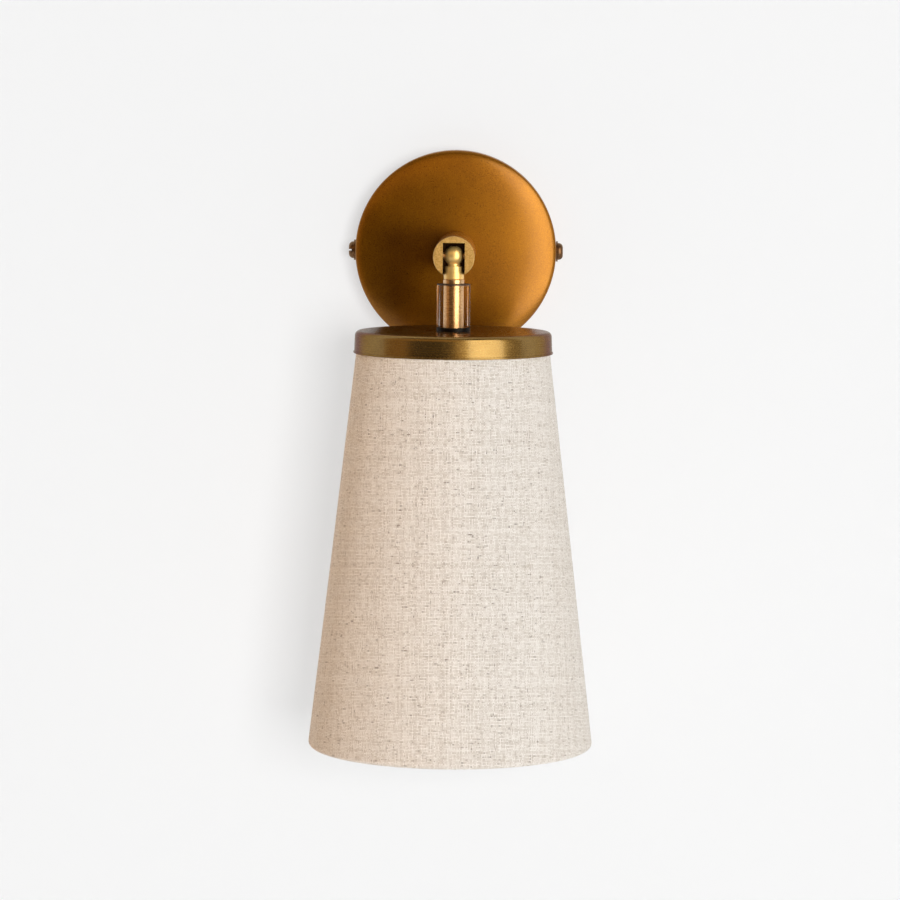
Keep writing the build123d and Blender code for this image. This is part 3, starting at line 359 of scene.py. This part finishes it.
def finish_arm():
    """Lacquered brown barrel, its front machined back to pale brass, with shade painted into
    its slot.
    """
    made = metal(
        "arm_brass",
        light=(0.34, 0.17, 0.035),
        dark=(0.22, 0.10, 0.015),
        rough=0.26,
        grain=0.5 * MM,
        grain_depth=0.004 * MM,
        lines=(False, 40 * MM, 0.35 * MM, 0.004 * MM),
        coat=0.5,
        coat_rough=0.2,
    )
    tree = made.node_tree
    shader = tree.nodes["Principled BSDF"]
    where = place(tree)
    parts = add_node(tree, "SeparateXYZ", {0: where}).outputs
    low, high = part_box("arm")
    face = spread(tree, parts["Y"], low.y + FACE_DEPTH, low.y + FACE_FADE, 1.0, 0.0)
    # The slot's painted shade: inside its side walls, in front of its back wall, under the
    # barrel's skin and off the pale front.
    sideways = maths(tree, "ABSOLUTE", parts["X"])
    inside = spread(tree, sideways, SLOT_HALF, 1.02 * SLOT_HALF, 1.0, 0.0)
    deep = maths(tree, "LESS_THAN", parts["Y"], AXIS_Y + SLOT_DEPTH)
    distance = about_axis(tree, where, False)[1]
    below_skin = spread(tree, distance, high.x - SKIN_FADE, high.x - SKIN_DEPTH, 1.0, 0.0)
    slot = maths(tree, "MULTIPLY", maths(tree, "MULTIPLY", inside, deep), below_skin)
    slot = maths(tree, "MULTIPLY", slot, maths(tree, "SUBTRACT", 1.0, face))
    pits = noise(tree, where, 0.7 * MM, detail=3.0, rough=0.7)
    pale = mix(tree, spread(tree, pits, 0.35, 0.6), FACE_PITS, FACE_BRASS)
    satin = spread(tree, pits, 0.3, 0.7, 0.42, 0.5)
    for name, value in (("Base Color", pale), ("Roughness", satin)):
        barrel = shader.inputs[name].links[0].from_socket
        blend = mix(tree, face, barrel, value)
        tree.links.new(blend, shader.inputs[name])
    outside = shader.inputs["Base Color"].links[0].from_socket
    # Painted shade laid over the barrel's colour in the slot.
    tree.links.new(mix(tree, slot, outside, SLOT_SHADE), shader.inputs["Base Color"])
    return made


def finish_stem():
    """Warm drawn brass, lacquered to a gloss."""
    return metal(
        "stem_brass",
        light=(0.80, 0.55, 0.30),
        dark=(0.60, 0.35, 0.15),
        rough=0.28,
        metallic=0.93,
        grain=0.4 * MM,
        grain_depth=0.002 * MM,
        lines=(True, 40 * MM, 0.2 * MM, 0.001 * MM),
        coat=0.7,
        coat_rough=0.15,
    )


def finish_ball():
    """Turned brass left satin and pale, where the lacquered stem meets the fork."""
    return metal(
        "ball_brass",
        light=(0.98, 0.70, 0.27),
        dark=(0.86, 0.53, 0.15),
        rough=0.36,
        metallic=0.62,
        grain=0.4 * MM,
        grain_depth=0.002 * MM,
        lines=(True, 40 * MM, 0.2 * MM, 0.001 * MM),
        coat=0.6,
        coat_rough=0.2,
    )


def finish_clear():
    """Clear tube with a faint haze, which bends light very little."""
    made, tree, shader = new_material(
        "clear_tube", Transmission_Weight=1.0, IOR=1.06
    )
    where = place(tree)
    haze = noise(tree, where, 3 * MM, detail=3.0)
    connect(
        tree,
        shader,
        Base_Color=mix(tree, haze, (0.95, 0.90, 0.85, 1), (0.98, 0.95, 0.92, 1)),
        Roughness=spread(tree, haze, 0.35, 0.75, 0.01, 0.05),
    )
    bump(tree, shader, noise(tree, where, 0.9 * MM), 0.002 * MM)
    return made


def linen_weave(tree, where):
    """Thread numbers and places in the flat cloth that the cone is cut from.

    The cone unrolls about its apex, so the threads run straight up the middle of
    the front and lean ever more towards the seam behind, as on a real shade.
    """
    parts = add_node(tree, "SeparateXYZ", {0: where}).outputs
    across = maths(tree, "SUBTRACT", AXIS_Y, parts["Y"])
    bearing = maths(tree, "ARCTAN2", parts["X"], across)
    turned = maths(tree, "MULTIPLY", bearing, math.sin(LEAN))
    drop = maths(tree, "SUBTRACT", APEX, parts["Z"])
    slant = maths(tree, "MULTIPLY", drop, 1 / math.cos(LEAN))
    flat_x = maths(tree, "MULTIPLY", slant, maths(tree, "SINE", turned))
    flat_y = maths(tree, "MULTIPLY", slant, maths(tree, "COSINE", turned))
    return flat_x, flat_y


def thread(tree, number, along, seed):
    """One direction's threads: index, roundness across, own tone, and slubs along."""
    index = maths(tree, "FLOOR", number)
    part = maths(tree, "SUBTRACT", number, index)
    rounded = maths(tree, "SINE", maths(tree, "MULTIPLY", part, math.pi))
    chance = {"W": maths(tree, "ADD", index, seed)}
    tone = add_node(tree, "TexWhiteNoise", chance, noise_dimensions="1D").outputs["Value"]
    run = {
        "X": maths(tree, "MULTIPLY", index, THREAD_APART),
        "Y": maths(tree, "MULTIPLY", along, SLUB_RATE),
        "Z": seed,
    }
    run = add_node(tree, "CombineXYZ", run).outputs[0]
    return index, rounded, tone, noise(tree, run, 1.0, detail=2.0, rough=0.7)


def thread_tone_and_gap_shade(tree, rounded, tone, slub):
    """Tone of a thread, with painted shade darkening it towards the gaps beside it."""
    shade = maths(tree, "ADD", maths(tree, "MULTIPLY", tone, THREAD_TONE), slub)
    across = spread(tree, rounded, 0.0, 0.75, THREAD_GAP_SHADE, 1.0)
    return maths(tree, "MULTIPLY", shade, across)


def flecks(tree, where, warp_slub, weft_slub):
    """Share of dark husk in the thinnest parts of the threads, in loose clouds."""
    warp_fleck = spread(tree, warp_slub, 0.34, 0.25)
    weft_fleck = spread(tree, weft_slub, 0.375, 0.28)
    either = maths(tree, "MAXIMUM", warp_fleck, weft_fleck)
    cloud = noise(tree, where, FLECK_CLUSTER, detail=3.0)
    cluster = spread(tree, cloud, 0.35, 0.65, 0.45, 1.0)
    return maths(tree, "MULTIPLY", maths(tree, "MULTIPLY", either, cluster), FLECK_SHARE)


def finish_linen():
    """Plain weave of uneven flax threads, each with its own tone, slubs and flecks."""
    made, tree, shader = new_material(
        "linen",
        Sheen_Weight=0.25,
        Sheen_Roughness=0.45,
        Sheen_Tint=(1.0, 0.97, 0.92, 1.0),
        Specular_IOR_Level=0.25,
    )
    where = place(tree)
    flat_x, flat_y = linen_weave(tree, where)
    sway = noise(tree, where, 18 * MM, detail=2.0)
    sway = spread(tree, sway, 0.0, 1.0, -THREAD_SWAY, THREAD_SWAY)
    warp = maths(tree, "MULTIPLY", maths(tree, "ADD", flat_x, sway), 1 / WARP_PITCH)
    weft = maths(tree, "MULTIPLY", maths(tree, "ADD", flat_y, sway), 1 / WEFT_PITCH)
    warp_index, warp_round, warp_own, warp_slub = thread(tree, warp, weft, WARP_SEED)
    weft_index, weft_round, weft_own, weft_slub = thread(tree, weft, warp, WEFT_SEED)
    over = maths(tree, "PINGPONG", maths(tree, "ADD", warp_index, weft_index), 1.0)
    under = maths(tree, "SUBTRACT", 1.0, over)
    warp_tone = thread_tone_and_gap_shade(tree, warp_round, warp_own, warp_slub)
    weft_tone = thread_tone_and_gap_shade(tree, weft_round, weft_own, weft_slub)
    tone = maths(
        tree,
        "ADD",
        maths(tree, "MULTIPLY", warp_tone, under),
        maths(tree, "MULTIPLY", weft_tone, over),
    )
    cloth = mix(tree, spread(tree, tone, 0.10, 0.66), LINEN_DARK, LINEN_LIGHT)
    husk = flecks(tree, where, warp_slub, weft_slub)
    height = maths(
        tree,
        "ADD",
        maths(tree, "MULTIPLY", warp_round, maths(tree, "SUBTRACT", 1.2, over)),
        maths(tree, "MULTIPLY", weft_round, maths(tree, "ADD", 0.2, over)),
    )
    bump(tree, shader, height, WEAVE_BUMP)
    bump(tree, shader, noise(tree, where, 2.5 * MM, detail=3.0), 0.10 * MM)
    connect(
        tree,
        shader,
        Base_Color=mix(tree, husk, cloth, FLECK_COLOUR),
        Roughness=spread(tree, height, 0.0, 1.2, 0.95, 0.80),
    )
    return made


def finish_opal():
    """Milky plastic of the bulb."""
    made, tree, shader = new_material(
        "opal", Subsurface_Weight=0.25, Subsurface_Scale=2 * MM
    )
    where = place(tree)
    cloud = noise(tree, where, 12 * MM, detail=3.0)
    connect(
        tree,
        shader,
        Base_Color=mix(tree, cloud, (0.80, 0.79, 0.76, 1), (0.88, 0.87, 0.85, 1)),
        Roughness=spread(tree, cloud, 0.3, 0.7, 0.38, 0.48),
    )
    bump(tree, shader, noise(tree, where, 0.5 * MM), 0.004 * MM)
    return made


# ================================================================ the linen
TOP_RING_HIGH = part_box("shade_top_ring")[1]
BOTTOM_RING_LOW, BOTTOM_RING_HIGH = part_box("shade_bottom_ring")
FABRIC_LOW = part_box("shade_fabric")[0]
WIRE = (BOTTOM_RING_HIGH.z - BOTTOM_RING_LOW.z) / 2
HEM_OUTER = (BOTTOM_RING_LOW.z + WIRE) - FABRIC_LOW.z
HEM_INNER = WIRE + HEM_GAP
TOP_RING = (TOP_RING_HIGH.x - WIRE, TOP_RING_HIGH.z - WIRE)
BOTTOM_RING = (BOTTOM_RING_HIGH.x - WIRE, BOTTOM_RING_LOW.z + WIRE)
LEAN = math.atan2(BOTTOM_RING[0] - TOP_RING[0], TOP_RING[1] - BOTTOM_RING[1])
OUTER_FOOT = (
    BOTTOM_RING[0] + HEM_OUTER * math.cos(LEAN),
    BOTTOM_RING[1] + HEM_OUTER * math.sin(LEAN),
)
APEX = OUTER_FOOT[1] + OUTER_FOOT[0] / math.tan(LEAN)


def hem_arc(centre, radius, turn):
    """Points round a ring from the cone's own face, in the section."""
    return [
        (
            centre[0] + radius * math.cos(LEAN + turn * step / HEM_STEPS),
            centre[1] + radius * math.sin(LEAN + turn * step / HEM_STEPS),
        )
        for step in range(HEM_STEPS + 1)
    ]


def linen_section():
    """Closed outline of the cloth, down its outside and back up its inside."""
    outline = []
    for radius in (HEM_OUTER, HEM_INNER):
        over = hem_arc(TOP_RING, radius, HEM_WRAP)[::-1]
        under = hem_arc(BOTTOM_RING, radius, -HEM_WRAP)
        start, end = over[-1], under[0]
        rows = SHADE_ROWS if radius == HEM_OUTER else SHADE_ROWS // 4
        wall = [
            (
                start[0] + (end[0] - start[0]) * row / rows,
                start[1] + (end[1] - start[1]) * row / rows,
            )
            for row in range(1, rows)
        ]
        side = over + wall + under
        outline += side if radius == HEM_OUTER else side[::-1]
    return outline


def swell_at(waves, bearing):
    """How far the cloth's waves stand out at this bearing."""
    swell = sum(size * math.sin(count * bearing + phase) for count, phase, size in waves)
    return swell * (PUCKER_DEPTH / len(waves))


def lap_at(bearing, distance):
    """How far the lapped seam stands up here."""
    reach = (bearing - math.pi + math.tau) % math.tau * distance
    if reach > SEAM_WIDTH:
        return 0.0
    return SEAM_RISE * min(1.0, reach / SEAM_EDGE, (SEAM_WIDTH - reach) / SEAM_EDGE)


def linen_column(shape, outline, bearing, swell):
    """The section's points at one bearing; only the cloth's outside is uneven."""
    outside = 2 * (HEM_STEPS + 1) + SHADE_ROWS - 1
    column = []
    for number, (distance, height) in enumerate(outline):
        out = distance
        if number < outside:
            out += swell * math.sin(height / PUCKER_HEIGHT)
            out += lap_at(bearing, distance)
        spot = (out * math.sin(bearing), AXIS_Y - out * math.cos(bearing), height)
        column.append(shape.verts.new(spot))
    return column


def build_linen():
    """The linen as one closed cone of cloth, with a lapped seam behind."""
    chance = random.Random(PUCKER_SEED)
    waves = [
        (count, chance.uniform(0, math.tau), chance.uniform(0.3, 1.0))
        for count in PUCKER_WAVES
    ]
    outline = linen_section()
    shape = bmesh.new()
    columns = []
    for segment in range(SHADE_SEGMENTS):
        bearing = math.tau * segment / SHADE_SEGMENTS
        swell = swell_at(waves, bearing)
        columns.append(linen_column(shape, outline, bearing, swell))
    for segment, column in enumerate(columns):
        following = columns[(segment + 1) % SHADE_SEGMENTS]
        for number in range(len(outline)):
            after = (number + 1) % len(outline)
            shape.faces.new(
                (column[number], column[after], following[after], following[number])
            )
    bmesh.ops.recalc_face_normals(shape, faces=shape.faces)
    return add_piece("linen_shade", shape, finish_linen())


def add_piece(name, shape, material):
    """Turns a bmesh into a smooth-shaded object at the origin."""
    for face in shape.faces:
        face.smooth = True
    mesh = bpy.data.meshes.new(name)
    shape.to_mesh(mesh)
    shape.free()
    mesh.materials.append(material)
    piece = bpy.data.objects.new(name, mesh)
    bpy.context.scene.collection.objects.link(piece)
    return piece


def declare_linen(piece):
    """Hangs the linen on the head in place of the CAD cloth; its cut area, part of a ring
    with hems and seam, is worked out but not used.
    """
    steep = math.cos(LEAN)
    outer_slant = (APEX - OUTER_FOOT[1]) / steep
    wrap = HEM_WRAP * (HEM_OUTER + HEM_INNER) / 2
    inner_slant = (APEX - TOP_RING[1] - HEM_OUTER * math.sin(LEAN)) / steep
    outer_slant += wrap
    inner_slant -= wrap
    half = math.pi * math.sin(LEAN)
    area = half * (outer_slant**2 - inner_slant**2)
    area += SEAM_WIDTH * (outer_slant - inner_slant)
    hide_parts("shade_fabric")
    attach(piece, "head")


# =================================== finishes of the small and the hidden parts
def finish_bronze():
    return metal(
        "dark_bronze", (0.22, 0.12, 0.06), (0.10, 0.05, 0.025), 0.32, 0.4 * MM, 0.004 * MM
    )


def finish_raw_brass():
    return metal(
        "raw_brass", (0.80, 0.58, 0.27), (0.62, 0.40, 0.16), 0.34, 0.5 * MM, 0.006 * MM
    )


def finish_zinc():
    return metal(
        "zinc_steel",
        light=(0.62, 0.64, 0.66),
        dark=(0.45, 0.46, 0.48),
        rough=0.36,
        grain=0.6 * MM,
        grain_depth=0.006 * MM,
        edge=(1.0, 1.0, 1.0),
    )


def finish_nickel():
    return metal(
        "nickel",
        light=(0.74, 0.72, 0.68),
        dark=(0.60, 0.57, 0.52),
        rough=0.22,
        grain=0.4 * MM,
        grain_depth=0.003 * MM,
        edge=(1.0, 1.0, 1.0),
    )


def finish_gasket():
    """Black rubber that mirrors next to nothing."""
    return plastic(
        "gasket", (0.012, 0.007, 0.005), (0.006, 0.004, 0.003), 0.35, Specular_IOR_Level=0.15
    )


def finish_disc():
    return plastic("disc", (0.06, 0.03, 0.015), (0.03, 0.015, 0.01), 0.5)


def finish_black():
    return plastic("black_plastic", (0.022, 0.022, 0.023), (0.014, 0.014, 0.014), 0.35)


def finish_wire():
    return plastic("white_wire", (0.82, 0.81, 0.78), (0.72, 0.71, 0.68), 0.35)


def finish_liner():
    return plastic("liner", (0.86, 0.84, 0.79), (0.80, 0.77, 0.71), 0.5)


def finish_white():
    return plastic("white_plastic", (0.84, 0.84, 0.83), (0.78, 0.78, 0.77), 0.35)


def finish_ceramic():
    return plastic("ceramic", (0.80, 0.78, 0.73), (0.74, 0.71, 0.66), 0.25)


def finish_block():
    return plastic("block_plastic", (0.70, 0.68, 0.62), (0.62, 0.60, 0.54), 0.4)


def finish_insulator():
    return plastic("glass_black", (0.02, 0.02, 0.022), (0.01, 0.01, 0.012), 0.2)


def finish_brown_sleeve():
    return plastic("brown_sleeve", (0.16, 0.07, 0.03), (0.11, 0.045, 0.02), 0.35)


def finish_blue_sleeve():
    return plastic("blue_sleeve", (0.03, 0.13, 0.42), (0.02, 0.09, 0.33), 0.35)


def finish_earth_sleeve():
    return plastic("earth_sleeve", (0.20, 0.38, 0.06), (0.14, 0.30, 0.04), 0.35)


def finish_board():
    return plastic("circuit_board", (0.80, 0.80, 0.78), (0.72, 0.72, 0.70), 0.3)


def finish_phosphor():
    return plastic("led_phosphor", (0.85, 0.72, 0.20), (0.78, 0.62, 0.14), 0.3)


def dress(material, *names):
    """Gives CAD nodes a material."""
    for name in names:
        for slot in NODES[name].material_slots:
            slot.material = material


def dress_all():
    """Every CAD node has its finish, each finish made once."""
    dress(finish_canopy(), "canopy")
    dress(finish_cap(), "shade_cap")
    dress(finish_arm(), "arm")
    dress(finish_ball(), "swivel_ball")
    dress(finish_stem(), "stem_collar", "stem_tube", "pivot_screws")
    dress(finish_clear(), "clear_sleeve")
    dress(finish_opal(), "bulb_diffuser")
    dress(finish_bronze(), "canopy_screws", "canopy_screw_washers")
    raw = finish_raw_brass()
    dress(raw, "arm_nipple", "arm_lock_nut", "cap_nut", "terminal_tubes")
    dress(raw, "centre_contact", "shell_contact", "earth_cup_washer")
    zinc = finish_zinc()
    dress(zinc, "wall_bracket", "arm_lock_washer", "cap_washer", "terminal_screws")
    dress(zinc, "block_screw", "earth_screw", "holder_screws")
    dress(finish_nickel(), "bulb_screw_shell", "holder_shell", "bulb_tip_contact")
    dress(finish_gasket(), "sleeve_gasket")
    dress(finish_disc(), "sleeve_washer")
    dress(finish_black(), "holder_cap", "holder_skirt", "shade_rings")
    dress(finish_wire(), "shade_top_ring", "shade_bottom_ring")
    dress(finish_liner(), "shade_liner")
    dress(finish_white(), "bulb_housing")
    dress(finish_ceramic(), "holder_insert")
    dress(finish_block(), "terminal_block")
    dress(finish_insulator(), "bulb_insulator")
    dress(finish_brown_sleeve(), "live_lead_arm", "live_lead_stem")
    dress(finish_blue_sleeve(), "neutral_lead_arm", "neutral_lead_stem")
    dress(finish_earth_sleeve(), "earth_lead")
    dress(finish_board(), "led_board")
    dress(finish_phosphor(), "led_chips")


# ============================================================== the studio
def add_camera():
    """The photograph's camera, without shift or depth of field."""
    data = bpy.data.cameras.new("camera")
    data.lens = CAMERA_LENS
    data.sensor_width = CAMERA_SENSOR
    camera = bpy.data.objects.new("camera", data)
    bpy.context.scene.collection.objects.link(camera)
    forward = Vector(
        (
            math.sin(CAMERA_PAN) * math.cos(CAMERA_TILT),
            math.cos(CAMERA_PAN) * math.cos(CAMERA_TILT),
            -math.sin(CAMERA_TILT),
        )
    )
    level = Vector((math.cos(CAMERA_PAN), -math.sin(CAMERA_PAN), 0))
    up = level.cross(forward)
    right = math.cos(CAMERA_ROLL) * level + math.sin(CAMERA_ROLL) * up
    up = right.cross(forward)
    turn = Matrix((right, up, -forward)).transposed()
    camera.matrix_world = Matrix.Translation(CAMERA_PLACE) @ turn.to_4x4()
    bpy.context.scene.camera = camera


def seen_directly(tree):
    """1 for rays that see the room as the camera, polished metal or glass does."""
    rays = add_node(tree, "LightPath").outputs
    seen = maths(tree, "ADD", rays["Is Camera Ray"], rays["Is Glossy Ray"])
    seen = maths(tree, "ADD", seen, rays["Is Transmission Ray"])
    return maths(tree, "MINIMUM", seen, 1.0)


def stage_material(name, colour):
    """Matt paint on the front of a surface, and nothing on its back."""
    made, tree, shader = new_material(name, Roughness=0.9, Specular_IOR_Level=0.1)
    where = place(tree)
    cloud = noise(tree, where, 0.4, detail=2.0)
    paler = tuple(min(1.0, 1.004 * part) for part in colour)
    connect(tree, shader, Base_Color=mix(tree, cloud, (*colour, 1), (*paler, 1)))
    glow = add_node(tree, "Emission").outputs[0]
    share = maths(tree, "MULTIPLY", seen_directly(tree), WALL_GLOW)
    look = add_node(tree, "MixShader", {0: share, 1: shader.outputs[0], 2: glow})
    back = add_node(tree, "NewGeometry").outputs["Backfacing"]
    clear = add_node(tree, "BsdfTransparent").outputs[0]
    both = add_node(tree, "MixShader", {0: back, 1: look.outputs[0], 2: clear})
    tree.links.new(both.outputs[0], tree.nodes["Material Output"].inputs["Surface"])
    return made


def add_disc(name, plane, outer, inner, material):
    """Flat round stage piece with a round hole."""
    shape = bmesh.new()
    rings = []
    turns = [math.tau * side / DISC_SIDES for side in range(DISC_SIDES)]
    for radius in (outer, inner):
        spots = [Vector((radius * math.cos(a), radius * math.sin(a), 0)) for a in turns]
        rings.append([shape.verts.new(plane @ spot) for spot in spots])
    edge, hole = rings
    for side in range(DISC_SIDES):
        after = (side + 1) % DISC_SIDES
        shape.faces.new((edge[side], edge[after], hole[after], hole[side]))
    piece = add_piece(name, shape, material)
    piece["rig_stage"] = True


def direction(azimuth, elevation):
    """Unit vector; azimuth 0 is straight out from the wall, 90 is along +X."""
    a, e = math.radians(azimuth), math.radians(elevation)
    return Vector((math.sin(a) * math.cos(e), -math.cos(a) * math.cos(e), math.sin(e)))


def add_softbox(name, azimuth, elevation, width, height, level, colour):
    """Area lamp that gives a facing white surface this level."""
    data = bpy.data.lights.new(name, "AREA")
    data.shape = "RECTANGLE"
    data.size = 2 * STUDIO_DISTANCE * math.tan(math.radians(width / 2))
    data.size_y = 2 * STUDIO_DISTANCE * math.tan(math.radians(height / 2))
    data.energy = level * math.pi**2 * STUDIO_DISTANCE**2
    data.color = colour
    lamp = bpy.data.objects.new(name, data)
    away = direction(azimuth, elevation)
    lamp.location = STEM + away * STUDIO_DISTANCE
    lamp.rotation_euler = away.to_track_quat("Z", "Y").to_euler()
    bpy.context.scene.collection.objects.link(lamp)
    return lamp


def add_card(name, azimuths, elevations, colour, strength):
    """Glowing card that only polished surfaces show, for their light and dark bands."""
    made = bpy.data.materials.new(name)
    made.use_nodes = True
    tree = made.node_tree
    fade = spread(tree, noise(tree, place(tree), 0.9, detail=1.0), 0.3, 0.7)
    dim = tuple(0.7 * part for part in colour)
    tone = mix(tree, fade, (*colour, 1), (*dim, 1))
    glow = add_node(tree, "Emission", {"Color": tone, "Strength": strength}).outputs[0]
    tree.links.new(glow, tree.nodes["Material Output"].inputs["Surface"])
    shape = bmesh.new()
    columns = []
    for step in range(CARD_STEPS + 1):
        azimuth = azimuths[0] + (azimuths[1] - azimuths[0]) * step / CARD_STEPS
        column = []
        for rise in range(CARD_STEPS + 1):
            elevation = elevations[0] + (elevations[1] - elevations[0]) * rise / CARD_STEPS
            away = direction(azimuth, elevation)
            column.append(shape.verts.new(STEM + away * CARD_DISTANCE))
        columns.append(column)
    for first, second in zip(columns, columns[1:]):
        for low in range(CARD_STEPS):
            shape.faces.new((first[low], second[low], second[low + 1], first[low + 1]))
    card = add_piece(name, shape, made)
    for rays in ("camera", "diffuse", "shadow", "volume_scatter"):
        setattr(card, "visible_" + rays, False)
    card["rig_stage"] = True


def add_world():
    """A grey fill for matt surfaces, behind a room that is seen as pale."""
    world = bpy.data.worlds.new("room")
    world.use_nodes = True
    tree = world.node_tree
    colour = mix(tree, seen_directly(tree), (*AMBIENT, 1), (*ROOM, 1))
    tree.links.new(colour, tree.nodes["Background"].inputs["Color"])
    bpy.context.scene.world = world


def light_only(lamp, things):
    """Keeps a lamp's light on these things."""
    lit = bpy.data.collections.new("lit_by_" + lamp.name)
    for thing in things:
        lit.objects.link(thing)
    lamp.light_linking.receiver_collection = lit


def add_studio():
    """Wall, floor, cards and three lamps: for the stage, the object and the linen."""
    upright = Matrix.Rotation(math.radians(90), 4, "X")
    face_room = Matrix.Translation((0, WALL_GAP, 0)) @ upright
    paint = stage_material("wall_paint", WALL_COLOUR)
    add_disc("wall", face_room, WALL_RADIUS, WALL_HOLE, paint)
    below = Matrix.Translation((0, 0, -FLOOR_DROP))
    add_disc("floor", below, WALL_RADIUS, FLOOR_HOLE, paint)
    for name, settings in CARDS.items():
        add_card(name, *settings)
    add_world()
    meshes = [thing for thing in bpy.context.scene.objects if thing.type == "MESH"]
    stage = [thing for thing in meshes if thing.get("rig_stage")]
    sconce = [thing for thing in meshes if thing not in stage]
    linen = [thing for thing in sconce if thing.name == "linen_shade"]
    light_only(add_softbox("wall_softbox", *WALL_LAMP), stage)
    light_only(add_softbox("key_softbox", *KEY_LAMP), sconce)
    light_only(add_softbox("warm_fill", *WARM_LAMP), linen)
    for lamp in bpy.context.scene.objects:
        if lamp.type == "LIGHT":
            lamp.visible_glossy = False


add_camera()
dress_all()
declare_linen(build_linen())
add_studio()
bpy.context.scene.view_settings.view_transform = "Standard"
